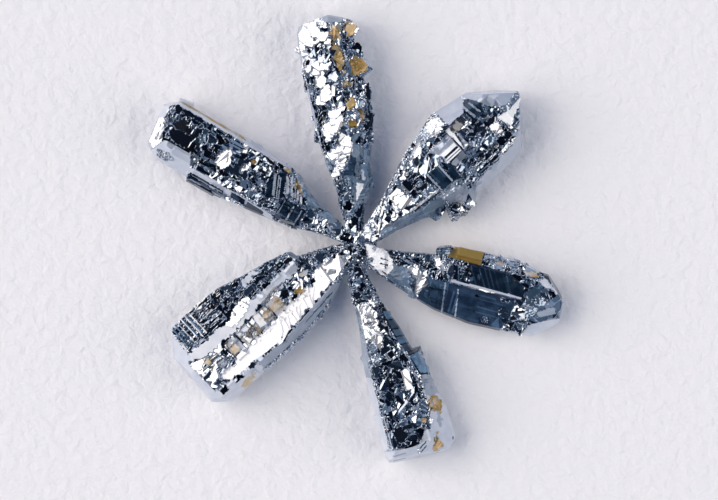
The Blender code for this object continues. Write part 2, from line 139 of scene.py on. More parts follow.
@dataclass(frozen=True)
class Growth:
    """How the crystal blocks of a field grow.

    A cap that would leave the skin goes on a step lower or higher, and without caps the skin stays as it is.

    Attributes:
        leans: The share of each lean among the caps.
        size: A block's width across its heading.
        longer: How many times as long it is along its heading.
        heading: The way that it points, from the crystal's axis, or None where that is free.
        caps: How many caps a block has.
        sides: The tilt range of its four sides.
        height: How much the blocks differ in height.
        depth: How deep the gaps between them are.
        step: The height of a terrace.
        wander: How far the caps of the OWN lean stray from the skin's own way, in degrees.
        loyal: Whether each cap leans the way that is nearest to the skin's own.
        grains: The share of each lean among the small crystals on top, or None where there are none.
        grain_share: How much of the field they cover.
        grain_size: Their width.
        painted_sheen: How much painted sheen the faces have: a pale matte colour that stands in for the light
            that a mirror face would catch.
        painted_shade: How much painted shade they have: a blue to black colour that stands in for the shade
            that a mirror face would show.
        gold: How gold-tinted they are.
        tone: The range of their paleness, which also sets how bright the painted sheen and how dark the
            painted shade are.
        crowd: How often the blocks would cover the field.
    """

    leans: dict
    size: float = 0.5
    longer: float = 1.5
    heading: float | None = None
    caps: int = 2
    sides: tuple = (30.0, 62.0)
    height: float = 0.10
    depth: float = 0.24
    step: float = 0.2
    wander: float = 4.0
    loyal: bool = False
    grains: dict | None = None
    grain_share: float = 0.3
    grain_size: float = 0.15
    painted_sheen: float = 0.0
    painted_shade: float = 0.0
    gold: float = 0.0
    tone: tuple = (0.0, 1.0)
    crowd: float = 1.7

    def small(self) -> "Growth":
        """The recipe of the small crystals on top."""
        return replace(
            self, leans=self.grains, size=self.grain_size, longer=2.2, heading=None, caps=1,
            sides=(20.0, 50.0), height=0.03, crowd=1.0,
        )


def shaded(growth: Growth, tone: float) -> Growth:
    """The same growth in one even tone."""
    return replace(growth, tone=(tone, tone))


def sized(growth: Growth, size: float) -> Growth:
    """The same growth with blocks of another size."""
    return replace(growth, size=size)


@dataclass(frozen=True)
class Field:
    """A field on a crystal's upper side.

    Attributes:
        growth: What grows there.
        outline: Its (s, t) corners.
        crisp: Whether its edges stay straight, or else follow the small blocks around them.
        level: How far the whole field is raised.
    """

    growth: Growth
    outline: tuple
    crisp: bool = False
    level: float = 0.0

    def holds(self, points: np.ndarray) -> np.ndarray:
        """Finds the points inside the outline.

        Args:
            points: The points, in the crystal's own millimetres.

        Returns:
            Whether each of them is inside.
        """
        inside = np.zeros(len(points), bool)
        x, y = points[:, 0], points[:, 1]
        for (x0, y0), (x1, y1) in zip(self.outline, self.outline[1:] + self.outline[:1]):
            crossing = (y0 > y) != (y1 > y)
            inside ^= crossing & (x < (x1 - x0) * (y - y0) / (y1 - y0 or 1e-9) + x0)
        return inside


def ragged(growth: Growth, *corners: tuple) -> Field:
    """A field whose edges follow the small blocks around them."""
    return Field(growth, corners)


def sharp(growth: Growth, *corners: tuple, level: float = 0.0) -> Field:
    """A field with straight edges."""
    return Field(growth, corners, crisp=True, level=level)


def spot(growth: Growth, s: float, t: float, along: float, across: float, crisp: bool = False) -> Field:
    """A small round field with its middle at (s, t), which reaches along and across from there."""
    turns = (math.tau * number / SPOT_CORNERS for number in range(SPOT_CORNERS))
    corners = tuple((s + along * math.cos(turn), t + across * math.sin(turn)) for turn in turns)
    return Field(growth, corners, crisp)


def comb(
    growth: Growth, along: tuple, across: tuple, count: int, wide: float, slant: float = 0.0
) -> list[Field]:
    """Makes thin straight lines side by side, each running across the crystal.

    Args:
        growth: What they are made of.
        along: Where the first and the last line start, along the crystal.
        across: Where every line starts and ends, across the crystal.
        count: How many there are.
        wide: How wide each one is.
        slant: How much further along each line ends than it starts.

    Returns:
        A field for each line.
    """
    draw = np.random.default_rng(count)
    low, high = across
    shifts = draw.uniform(-LINE_SHIFT, LINE_SHIFT, count)
    found = []
    for start in np.linspace(*along, count) + shifts * (along[1] - along[0]) / count:
        half = wide * draw.uniform(*LINE_HALF)
        top = high - draw.uniform(0.0, LINE_SHORTER) * (high - low)
        end = start + slant
        corners = ((start - half, low), (start + half, low), (end + half, top), (end - half, top))
        found.append(sharp(growth, *corners))
    return found


def grooves(growth: Growth, along: tuple, across: tuple, count: int, wide: float) -> list[Field]:
    """Makes thin straight lines side by side, each running along the crystal.

    Args:
        growth: What they are made of.
        along: Where every line starts and ends, along the crystal.
        across: Where the first and the last line are, across the crystal.
        count: How many there are.
        wide: How wide each one is.

    Returns:
        A field for each line.
    """
    turned = comb(growth, across, along, count, wide)
    return [replace(line, outline=tuple((s, t) for t, s in line.outline)) for line in turned]


DARK_GRAINS = {Lean.LEVEL: 0.4, Lean.AWAY: 0.4, Lean.STEEP: 0.2}
MIXED_GRAINS = {Lean.BRIGHT: 0.18, Lean.LEVEL: 0.3, Lean.AWAY: 0.22, Lean.STEEP: 0.2, Lean.PALE: 0.1}

# Rough growth: many small blocks with mirror caps.
JUMBLE = Growth(
    {Lean.LEVEL: 0.38, Lean.AWAY: 0.28, Lean.STEEP: 0.12, Lean.BRIGHT: 0.1, Lean.PALE: 0.12},
    size=0.38, longer=1.9, grains=MIXED_GRAINS, grain_share=0.22,
)
DARK = Growth(
    {Lean.LEVEL: 0.6, Lean.AWAY: 0.34, Lean.STEEP: 0.06}, longer=2.0,
    grains={Lean.LEVEL: 0.44, Lean.AWAY: 0.26, Lean.STEEP: 0.16, Lean.PALE: 0.14}, grain_share=0.2,
)
SPECKLED = Growth(
    {Lean.BRIGHT: 0.36, Lean.SILVER: 0.2, Lean.LEVEL: 0.24, Lean.AWAY: 0.12, Lean.STEEP: 0.08},
    size=0.32, longer=1.9, grains=MIXED_GRAINS, grain_share=0.25,
)
GREY = Growth(
    {
        Lean.SILVER: 0.24, Lean.PALE: 0.28, Lean.STEEP: 0.14, Lean.AWAY: 0.14, Lean.LEVEL: 0.1,
        Lean.BRIGHT: 0.1,
    },
    size=0.36, longer=1.8, grains=MIXED_GRAINS, grain_share=0.25,
)
BLUE = Growth(
    {Lean.AWAY: 0.36, Lean.STEEP: 0.3, Lean.LEVEL: 0.14, Lean.PALE: 0.2},
    size=0.36, longer=2.0, grains=MIXED_GRAINS, grain_share=0.2,
)
DOME = Growth(
    {Lean.STEEP: 0.4, Lean.PALE: 0.22, Lean.SILVER: 0.1, Lean.AWAY: 0.2, Lean.BRIGHT: 0.08},
    size=0.46, longer=2.0, heading=65.0, grains=MIXED_GRAINS, grain_share=0.06,
)
HUB_MIX = sized(SPECKLED, 0.2)

# Wide white faces. Their caps lean to the light and mirror it, and a share of painted sheen makes them pale
# as well; the sheet is a full matte white, a painted highlight.
WHITE = Growth(
    {Lean.BRIGHT: 1.0},
    size=0.8, longer=1.8, sides=(22.0, 45.0), height=0.04, depth=0.3, loyal=True, grains=DARK_GRAINS,
    grain_share=0.14, grain_size=0.12, painted_sheen=0.4, tone=(1.0, 1.2), crowd=2.6,
)
PATCH = replace(WHITE, size=0.6, crowd=3.2, sides=(12.0, 28.0), grain_share=0.08)
SHEET = replace(
    WHITE, leans={Lean.OWN: 1.0}, size=1.4, longer=3.0, heading=0.0, caps=1, height=0.0, wander=2.0,
    grain_share=0.05, painted_sheen=1.5,
)

# Faces that follow the skin, and plain ones that are only dressed. Most of the dress is painted light: pale
# and white is painted sheen that stands in for mirrored light, blue and black is painted shade that stands in
# for mirrored shade.
FACET = Growth(
    {Lean.OWN: 1.0},
    size=1.0, longer=2.2, heading=0.0, caps=1, sides=(15.0, 30.0), height=0.02, wander=3.0, crowd=3.0,
)
# Blue steps and smooth blue faces, whose blue is painted shade.
BLUE_PAINTED_SHADE = replace(
    FACET, leans={Lean.OWN: 0.5, Lean.STEEP: 0.2, Lean.AWAY: 0.2, Lean.PALE: 0.1}, size=0.4,
    sides=(30.0, 60.0), height=0.08, wander=8.0, painted_sheen=0.4, painted_shade=0.9, tone=(0.35, 0.9),
)
SMOOTH_BLUE = replace(
    FACET, size=0.5, longer=3.0, height=0.06, wander=7.0, painted_sheen=0.4, painted_shade=0.85, tone=(0.35, 0.9)
)
PALE = replace(FACET, caps=0, painted_sheen=1.0, tone=(0.2, 0.45))
# Pale flanks, whose paleness is painted sheen standing in for the paper that steep faces mirror, and blue
# stem flanks, whose blue is painted shade.
FLANK = replace(PALE, painted_sheen=0.7, tone=(0.0, 0.2))
STEM_FLANK = replace(BLUE_PAINTED_SHADE, painted_shade=0.8)
BLUE_FACET = replace(PALE, painted_sheen=0.0, painted_shade=1.0, tone=(0.3, 0.5))
STEEL = shaded(BLUE_FACET, 0.05)
SLATE = replace(PALE, painted_shade=0.55, tone=(0.3, 0.5))
SLATY_BLUE = replace(PALE, painted_sheen=0.4, painted_shade=0.95, tone=(0.5, 0.7))
# Thin white lines are painted highlights, thin black lines painted shade.
WHITE_LINE = replace(PALE, painted_sheen=1.5, tone=(1.0, 1.2))
BLACK_LINE = replace(PALE, painted_sheen=0.0, painted_shade=1.0, tone=(0.0, 0.0))

# Gold tint, some of it under painted sheen.
GILT = Growth(
    {Lean.SILVER: 0.4, Lean.STEEP: 0.3, Lean.PALE: 0.3},
    size=0.3, longer=1.8, grains=MIXED_GRAINS, grain_share=0.12, painted_sheen=0.3, gold=1.0,
)
PAINTED_SHEEN_GILT = replace(PALE, gold=0.45)
EDGE_GILT = replace(PALE, painted_sheen=0.6, gold=0.5, tone=(0.1, 0.1))
OLIVE = replace(PALE, painted_sheen=0.0, gold=2.0, tone=(0.1, 0.1))
STEPS = replace(
    FACET, size=0.3, longer=2.6, heading=90.0, sides=(60.0, 80.0), height=0.16, painted_sheen=0.75, gold=0.38,
    tone=(0.0, 0.7), crowd=1.6,
)

# Narrow dark blocks side by side.
MAZE = Growth(
    {Lean.LEVEL: 0.56, Lean.AWAY: 0.38, Lean.PALE: 0.06},
    size=0.3, longer=2.0, heading=0.0, caps=1, sides=(62.0, 80.0), height=0.12, loyal=True, crowd=1.3,
)
MAZE_ACROSS = replace(MAZE, heading=90.0, size=0.24, longer=2.6)
BLUE_ACROSS = replace(MAZE_ACROSS, leans={Lean.STEEP: 0.4, Lean.AWAY: 0.6}, painted_shade=0.15)
BLACK_SLAB = Growth(
    {Lean.LEVEL: 0.8, Lean.AWAY: 0.2},
    size=0.14, longer=14.0, heading=0.0, caps=1, sides=(50.0, 70.0), height=0.05, loyal=True,
)
SLANTED = replace(
    BLACK_SLAB, leans={Lean.LEVEL: 0.4, Lean.STEEP: 0.3, Lean.PALE: 0.3}, heading=-62.0, longer=8.0,
    height=0.08,
)


class Wiring:
    """A node tree, and short ways to add to it."""

    def __init__(self, tree: bpy.types.NodeTree) -> None:
        """Takes the tree to add to."""
        self.tree = tree

    def node(self, kind: str, **settings: object) -> bpy.types.Node:
        """Adds a node.

        Args:
            kind: Its type.
            settings: Its properties.

        Returns:
            The new node.
        """
        node = self.tree.nodes.new(kind)
        for name, value in settings.items():
            setattr(node, name, value)
        return node

    def feed(self, into: Socket, value: Socket | tuple | float) -> None:
        """Gives an input a number, a vector or colour, or a link.

        Args:
            into: The input.
            value: What it gets.
        """
        if isinstance(value, Socket):
            self.tree.links.new(value, into)
        else:
            into.default_value = value

    def mark(self, name: str) -> Socket:
        """The value of a mark on the mesh."""
        return self.node("ShaderNodeAttribute", attribute_name=name).outputs["Fac"]

    def span(self, value: Socket, before: tuple, after: tuple, **settings: object) -> Socket:
        """Moves a value from one range to another.

        Args:
            value: The value.
            before: The range that it comes from.
            after: The range that it goes to.
            settings: Other properties of the node.

        Returns:
            The moved value.
        """
        node = self.node("ShaderNodeMapRange", **settings)
        for socket, given in zip(node.inputs, (value, *before, *after)):
            self.feed(socket, given)
        return node.outputs[0]

    def mix(self, share: Socket, first: Socket | tuple, second: Socket | tuple) -> Socket:
        """Turns one colour into another.

        Args:
            share: The share of the second one.
            first: The colour at 0.
            second: The colour at 1.

        Returns:
            The mixed colour.
        """
        node = self.node("ShaderNodeMix", data_type="RGBA")
        self.feed(node.inputs[0], share)
        for number, colour in enumerate((first, second), COLOUR_INPUT):
            self.feed(node.inputs[number], (*colour, 1.0) if isinstance(colour, tuple) else colour)
        return node.outputs[COLOUR_OUTPUT]

    def plus(self, value: Socket, times: float, more: Socket, **settings: object) -> Socket:
        """Adds a value, times a number, to another value.

        Args:
            value: The value.
            times: The number.
            more: The other value.
            settings: Other properties of the node.

        Returns:
            The sum.
        """
        node = self.node("ShaderNodeMath", operation="MULTIPLY_ADD", **settings)
        for socket, given in zip(node.inputs, (value, times, more)):
            self.feed(socket, given)
        return node.outputs[0]

    def noise(self, scale: float, detail: float, distortion: float = 0.0) -> Socket:
        """Makes fine noise that stays with the object.

        Args:
            scale: How fine it is.
            detail: How many finer noises it holds.
            distortion: How much it is drawn out.

        Returns:
            The noise.
        """
        place = self.node("ShaderNodeTexCoord")
        node = self.node("ShaderNodeTexNoise")
        self.feed(node.inputs["Vector"], place.outputs["Object"])
        self.feed(node.inputs["Scale"], scale)
        self.feed(node.inputs["Detail"], detail)
        self.feed(node.inputs["Distortion"], distortion)
        return node.outputs[0]

    def relief(self, height: Socket, strength: float, distance: float) -> None:
        """Gives the surface a low relief.

        Args:
            height: The height that it follows.
            strength: How strong it is.
            distance: How high it is, in metres.
        """
        bump = self.node("ShaderNodeBump")
        self.feed(bump.inputs["Height"], height)
        self.feed(bump.inputs["Strength"], strength)
        self.feed(bump.inputs["Distance"], distance)
        self.dress("Normal", bump.outputs[0])

    def dress(self, name: str, value: Socket | tuple | float) -> None:
        """Gives an input of the surface its value."""
        self.feed(self.tree.nodes["Principled BSDF"].inputs[name], value)


def blank(name: str) -> bpy.types.Material:
    """A new material with nodes."""
    material = bpy.data.materials.new(name)
    material.use_nodes = True
    return material


@dataclass(frozen=True)
class OsmiumMetal:
    """The metal: a bluish mirror, with a gold tint and a fine grain.

    Some faces carry painted sheen, a pale matte colour that stands in for mirrored light, and some painted
    shade, a blue to black colour that stands in for mirrored shade.

    Attributes:
        mirror: The clean metal at tone 0 and at tone 1.
        painted_sheen: The same for the painted sheen, a pale matte colour that stands in for mirrored light.
        painted_shade: The same for the painted shade, a blue to black colour that stands in for mirrored
            shade.
        gold: The same for gold-tinted faces.
        gold_noise: The scale and detail of the noise that breaks the gold tint up, and its strength.
        gold_start: Where the gold tint starts and where it is full.
        gold_most: How much of the metal it hides there.
        streaks: The scale, detail and strength of the noise that clouds the painted sheen and the painted
            shade.
        streak_range: The darkest and the palest of it.
        rough: The roughness at tone 0 and at tone 1.
        duller: The roughness that each look adds.
        matte_sheen: The painted sheen that leaves least metal, and how much it leaves.
        less_metal: How much less metallic the painted shade and the gold are.
        grain: The scale and detail of the fine grain.
        grain_depth: Its strength, and its height in metres.
    """

    mirror: tuple = ((0.43, 0.52, 0.64), (0.84, 0.86, 0.91))
    painted_sheen: tuple = ((0.50, 0.55, 0.67), (0.97, 0.96, 0.98))
    painted_shade: tuple = ((0.010, 0.028, 0.065), (0.19, 0.34, 0.53))
    gold: tuple = ((0.36, 0.23, 0.025), (0.85, 0.59, 0.29))
    gold_noise: tuple = (2200.0, 5.0, 1.1)
    gold_start: tuple = (0.75, 1.15)
    gold_most: float = 0.95
    streaks: tuple = (1500.0, 4.0, 0.8)
    streak_range: tuple = (0.4, 1.4)
    rough: tuple = (0.04, 0.12)
    duller: tuple = (0.30, 0.15, 0.40)
    matte_sheen: tuple = (1.5, 0.03)
    less_metal: tuple = (-0.35, -0.5)
    grain: tuple = (5200.0, 2.0)
    grain_depth: tuple = (0.12, 0.00002)

    def material(self) -> bpy.types.Material:
        """Wires the marks on the mesh and the noise to the metal.

        Returns:
            The material.
        """
        material = blank("osmium_metal")
        wires = Wiring(material.node_tree)
        painted_sheen, tone, painted_shade, gold = (wires.mark(name) for name in LOOKS)
        gold = wires.plus(wires.noise(*self.gold_noise[:2]), self.gold_noise[2], gold)
        gold = wires.span(gold, self.gold_start, (0.0, self.gold_most))
        shade = wires.plus(wires.noise(*self.streaks[:2]), self.streaks[2], tone)
        shade = wires.span(shade, self.streak_range, (0.0, 1.0))
        colour = wires.mix(tone, *self.mirror)
        # Painted light by face: pale matte sheen stands in for mirrored light, blue to black shade for
        # mirrored shade.
        colour = wires.mix(painted_sheen, colour, wires.mix(shade, *self.painted_sheen))
        colour = wires.mix(painted_shade, colour, wires.mix(shade, *self.painted_shade))
        colour = wires.mix(gold, colour, wires.mix(tone, *self.gold))
        wires.dress("Base Color", colour)
        rough = wires.span(tone, (0.0, 1.0), self.rough)
        for look, duller in zip((painted_sheen, painted_shade, gold), self.duller):
            rough = wires.plus(look, duller, rough)
        wires.dress("Roughness", rough)
        most, left = self.matte_sheen
        metallic = wires.span(painted_sheen, (0.0, most), (1.0, left))
        for look, less in zip((painted_shade, gold), self.less_metal):
            metallic = wires.plus(look, less, metallic, use_clamp=True)
        wires.dress("Metallic", metallic)
        wires.relief(wires.noise(*self.grain), *self.grain_depth)
        return material


@dataclass
class Crystal:
    """One arm of the star.

    Attributes:
        name: The name of its piece.
        bearing: The way that it points, in degrees.
        gaps: The bearings of the gaps on its right and on its left.
        seed: Where its chance starts.
        fields: What grows where. Sharp fields lie over ragged ones, and later ones over earlier ones.
        ground: What grows outside the fields.
    """

    name: str
    bearing: float
    gaps: tuple
    seed: int
    fields: list[Field]
    ground: Growth = JUMBLE

    def build(self, finish: bpy.types.Material) -> bpy.types.Object:
        """Makes the piece of this crystal.

        Args:
            finish: The metal that it is dressed in.

        Returns:
            The finished piece, in metres and at the origin.
        """
        piece = self._sector()
        self._net(piece)
        self._break_into_faces(piece)
        piece.data.transform(self._to_local().inverted())
        piece.data.materials.clear()
        piece.data.materials.append(finish)
        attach(piece, "root")
        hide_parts(NODE)
        return piece

    def _to_local(self) -> Matrix:
        """The turn, shift and scale from the frame to this crystal's own millimetres."""
        turn = Matrix.Rotation(math.radians(-self.bearing), 4, "Z")
        return turn @ Matrix.Translation((-HUB[0], -HUB[1], 0.0)) @ Matrix.Scale(1 / MM, 4)

    def _sector(self) -> bpy.types.Object:
        """Cuts this crystal's share out of a merged copy of the solid.

        Returns:
            The share, in the crystal's own millimetres.
        """
        piece = bpy.data.objects.new(self.name, frame["nodes"][NODE].data.copy())
        bpy.context.scene.collection.objects.link(piece)
        piece.data.transform(self._to_local())
        select_only(piece)
        bpy.ops.object.mode_set(mode="EDIT")
        bpy.ops.mesh.select_all(action="SELECT")
        bpy.ops.mesh.remove_doubles(threshold=WELD)
        for gap, side in zip(self.gaps, (-1.0, 1.0)):
            angle = math.radians(gap - self.bearing)
            normal = Vector((-math.sin(angle), math.cos(angle), 0.0)) * side
            bpy.ops.mesh.select_all(action="SELECT")
            bpy.ops.mesh.bisect(
                plane_co=normal * SECTOR_OVERLAP, plane_no=normal, use_fill=True, clear_outer=True
            )
        bpy.ops.object.mode_set(mode="OBJECT")
        return piece

    @staticmethod
    def _net(piece: bpy.types.Object) -> None:
        """Rebuilds the skin of a piece as an even net of quads."""
        select_only(piece)
        remesh = piece.modifiers.new("net", "REMESH")
        remesh.mode = "VOXEL"
        remesh.voxel_size = NET_PITCH
        bpy.ops.object.modifier_apply(modifier=remesh.name)

    def _break_into_faces(self, piece: bpy.types.Object) -> None:
        """Moves the net onto crystal blocks and marks how each face looks.

        Args:
            piece: The crystal with its even net, in its own millimetres.
        """
        net = piece.data
        draw = np.random.default_rng(self.seed)
        skin = Skin(net)
        plain = [Field(growth, ()) for growth in (self.ground, FLANK, STEM_FLANK)]
        where = self._field_of(skin, draw)
        turn = np.array(Matrix.Rotation(math.radians(-self.bearing), 3, "Z"))
        shares = [
            (patch, np.flatnonzero(where == number))
            for number, patch in enumerate(plain + self.fields)
            if (where == number).any()
        ]
        for patch, members in shares:
            if patch.growth.caps:
                skin.cover(members, Blocks(skin, members, patch.growth, draw, turn, level=patch.level))
            else:
                skin.dress(members, patch, draw)
        for patch, members in shares:
            if patch.growth.grains:
                share = patch.growth.grain_share
                small = Blocks(skin, members, patch.growth.small(), draw, turn, share=share)
                skin.cover(members, small, only_above=True)
        piece.data = skin.cut(self.name)
        bpy.data.meshes.remove(net)

    def _field_of(self, skin: "Skin", draw: np.random.Generator) -> np.ndarray:
        """Finds the field of each point of a skin.

        Args:
            skin: The skin.
            draw: The source of chance for the ragged edges.

        Returns:
            For each point GROUND, ON_FLANK, ON_STEM, or the number of a field counted on from FIRST_FIELD.
        """
        count = len(skin.points)
        seeds = np.flatnonzero(draw.random(count) < (NET_PITCH / EDGE_WANDER) ** 2)
        tree = tree_of(skin.points[seeds])
        near = skin.points[seeds[[tree.find(point)[1] for point in skin.points]]]
        where = np.full(count, GROUND)
        wraps = np.zeros(FIRST_FIELD + len(self.fields), bool)
        for number, patch in sorted(enumerate(self.fields, FIRST_FIELD), key=lambda item: item[1].crisp):
            where[patch.holds(skin.points if patch.crisp else near)] = number
            wraps[number] = patch.crisp or Lean.OWN in patch.growth.leans
        steep = (skin.normals[:, 2] < FLANK_UP) & ~wraps[where]
        where[steep] = np.where(near[steep, 0] > STEM_END, ON_FLANK, ON_STEM)
        return where


class Planes:
    """All the planes that a skin may be cut to, and how the faces on them look."""

    def __init__(self) -> None:
        """Starts with the plane that stands for the net itself."""
        self.normal = np.zeros((1, 3))
        self.reach = np.zeros(1)
        self.looks = np.array([[0.0, 0.5, 0.0, 0.0]])

    def _append(self, normal: np.ndarray, reach: np.ndarray, looks: np.ndarray) -> int:
        """Adds planes.

        Args:
            normal: Their normals.
            reach: How far they are from the origin along them.
            looks: The looks of the faces on them.

        Returns:
            The number of the first new plane.
        """
        first = len(self.reach)
        self.normal = np.concatenate((self.normal, normal))
        self.reach = np.concatenate((self.reach, reach))
        self.looks = np.concatenate((self.looks, looks))
        return first

    def add(self, blocks: "Blocks", draw: np.random.Generator) -> int:
        """Adds the planes of some blocks, block by block.

        Args:
            blocks: The blocks.
            draw: The source of chance for their looks.

        Returns:
            The number of the first new plane.
        """
        count, faces = blocks.reaches.shape
        reach = blocks.reaches + (blocks.normals * blocks.place[:, None, :]).sum(2)
        growth = blocks.growth
        looks = np.tile((growth.painted_sheen, 0.0, growth.painted_shade, growth.gold), (count * faces, 1))
        looks[:, 1] = draw.uniform(*growth.tone, count * faces)
        looks[:, 2] *= np.repeat(draw.uniform(*PAINTED_SHADE_SHARE, count), faces)
        looks[:, 3] *= np.repeat(draw.uniform(*GOLD_SHARE, count), faces)
        return self._append(blocks.normals.reshape(-1, 3), reach.ravel(), looks)

    def bare(self, growth: Growth, draw: np.random.Generator) -> int:
        """Adds a stand-in for the net itself, with the look of a growth.

        Args:
            growth: The growth.
            draw: The source of chance for its tone.

        Returns:
            The number of the new plane.
        """
        looks = (growth.painted_sheen, draw.uniform(*growth.tone), growth.painted_shade, growth.gold)
        return self._append(np.zeros((1, 3)), np.zeros(1), np.array([looks]))

    def terraces(self, plane: np.ndarray, steps: np.ndarray) -> np.ndarray:
        """Adds the terraces that lie some steps below planes.

        Args:
            plane: The planes.
            steps: How far below each of them the terrace lies, along the plane's own normal.

        Returns:
            The numbers of the terraces, or of the planes where there is no step.
        """
        moved = steps != 0
        pairs, back = np.unique(np.stack((plane[moved], steps[moved]), 1), axis=0, return_inverse=True)
        source = pairs[:, 0].astype(int)
        first = self._append(self.normal[source], self.reach[source] - pairs[:, 1], self.looks[source])
        found = plane.copy()
        found[moved] = first + back.reshape(-1)
        return found

    def height(self, planes: np.ndarray, points: np.ndarray, normals: np.ndarray) -> np.ndarray:
        """Measures how far planes stand above points.

        Args:
            planes: The planes, one for each point.
            points: The points.
            normals: The ways along which the height is counted.

        Returns:
            The heights.
        """
        lean = self.normal[planes]
        slope = np.maximum((lean * normals).sum(-1), LEAST_SLOPE)
        return (self.reach[planes] - (lean * points).sum(-1)) / slope


class Skin:
    """The net of a piece, and the plane that each of its points is moved to."""

    def __init__(self, net: bpy.types.Mesh) -> None:
        """Reads an even net of quads.

        Args:
            net: The net.
        """
        self.points = read(net.vertices, "co", 3, np.float32).astype(float)
        self.ends = read(net.edges, "vertices", 2, np.int32)
        self.quads = read(net.loops, "vertex_index", 1, np.int32).reshape(-1, 4)
        self.normals = softened(read(net.vertex_normals, "vector", 3, np.float32).astype(float), self.ends)
        self.planes = Planes()
        self.lift = np.zeros(len(self.points))
        self.plane = np.zeros(len(self.points), int)
        self.fade = ramp(self.normals[:, 2], *FADE_UP) * ramp(self.points[:, 2], *FADE_HEIGHT)

    def cover(self, members: np.ndarray, blocks: "Blocks", only_above: bool = False) -> None:
        """Moves points onto the blocks over them.

        Args:
            members: The points.
            blocks: The blocks, which were sown on this skin.
            only_above: Whether points that are higher already stay as they are.
        """
        first = self.planes.add(blocks, blocks.draw)
        height, plane, steps = blocks.over(self, members)
        free = (height < -blocks.growth.depth) | (height > MOST_LIFT)
        height = np.clip(height, -blocks.growth.depth, MOST_LIFT)
        taken = ~free
        if only_above:
            taken &= height > self.lift[members]
        else:
            self.lift[members[free]] = height[free]
        self.lift[members[taken]] = height[taken]
        self.plane[members[taken]] = self.planes.terraces(first + plane[taken], steps[taken])

    def dress(self, members: np.ndarray, patch: Field, draw: np.random.Generator) -> None:
        """Leaves points on the net, raised to a field's level and with its look.

        Args:
            members: The points.
            patch: Their field.
            draw: The source of chance for its tone.
        """
        self.plane[members] = self.planes.bare(patch.growth, draw)
        self.lift[members] = patch.level

    def cut(self, name: str) -> bpy.types.Mesh:
        """Makes the mesh of the moved skin, with its edges along the lines where planes meet.

        Each quad is split along the diagonal that leaves more of its halves on one plane.

        Args:
            name: The name of the mesh.

        Returns:
            The mesh, with a mark on its faces for each look.
        """
        second = self._snap()
        places = self.points + self.normals * (self.lift * self.fade)[:, None]
        held = np.stack((self.plane, second), 1)
        one, other = (self.quads[:, order].reshape(-1, 2, 3) for order in DIAGONALS)
        planes_one, planes_other = shared_plane(held, one), shared_plane(held, other)
        flip = (planes_other > 0).sum(1) > (planes_one > 0).sum(1)
        triangles = np.where(flip[:, None, None], other, one).reshape(-1, 3)
        plane = np.where(flip[:, None], planes_other, planes_one).ravel()
        plane = np.where(plane > 0, plane, held[triangles[:, 0], 0])
        mesh = bpy.data.meshes.new(name)
        mesh.from_pydata(places.tolist(), [], triangles.tolist())
        for label, values in zip(LOOKS, self.planes.looks.T):
            marks = mesh.attributes.new(label, "FLOAT", "FACE")
            marks.data.foreach_set("value", values[plane].astype(np.float32))
        mesh.shade_flat()
        return mesh

    def _snap(self) -> np.ndarray:
        """Slides the points next to a crease onto it.

        Returns:
            The second plane of each point, which is its own plane again where it isn't on a crease.
        """
        first, last = self.ends.T
        sound = self.planes.normal[self.plane].any(1) & (self.fade > UNFADED)
        crossing = (self.plane[first] != self.plane[last]) & sound[first] & sound[last]
        first, last = first[crossing], last[crossing]
        near = -self.planes.height(self.plane[last], self.points[first], self.normals[first])
        near += self.lift[first]
        far = self.planes.height(self.plane[first], self.points[last], self.normals[last])
        far -= self.lift[last]
        meets = near * far < 0
        first, last, near, far = first[meets], last[meets], near[meets], far[meets]
        share = near / (near - far)
        swap = share > 0.5
        mover = np.where(swap, last, first)
        anchor = np.where(swap, first, last)
        share = np.where(swap, 1 - share, share)
        order = np.argsort(share, kind="stable")
        mover, anchor, share = mover[order], anchor[order], share[order]
        mover, kept = np.unique(mover, return_index=True)
        anchor, share = anchor[kept], share[kept][:, None]
        points = self.points[mover] * (1 - share) + self.points[anchor] * share
        normals = self.normals[mover] * (1 - share) + self.normals[anchor] * share
        normals /= np.linalg.norm(normals, axis=1, keepdims=True)
        second = self.plane.copy()
        second[mover] = self.plane[anchor]
        lift = self.planes.height(self.plane[mover], points, normals)
        lift += self.planes.height(second[mover], points, normals)
        self.points[mover], self.normals[mover], self.lift[mover] = points, normals, lift / 2
        return second


def shared_plane(held: np.ndarray, corners: np.ndarray) -> np.ndarray:
    """Finds the plane that all three corners of each triangle lie on.

    Args:
        held: The two planes of each point.
        corners: The points of each triangle, for pairs of triangles.

    Returns:
        The planes, or 0 where there is none.
    """
    found = np.zeros(corners.shape[:2], int)
    for choice in (1, 0):
        plane = held[corners[:, :, 0], choice]
        fits = plane > 0
        for corner in (1, 2):
            fits &= (held[corners[:, :, corner]] == plane[:, :, None]).any(2)
        found = np.where(fits, plane, found)
    return found


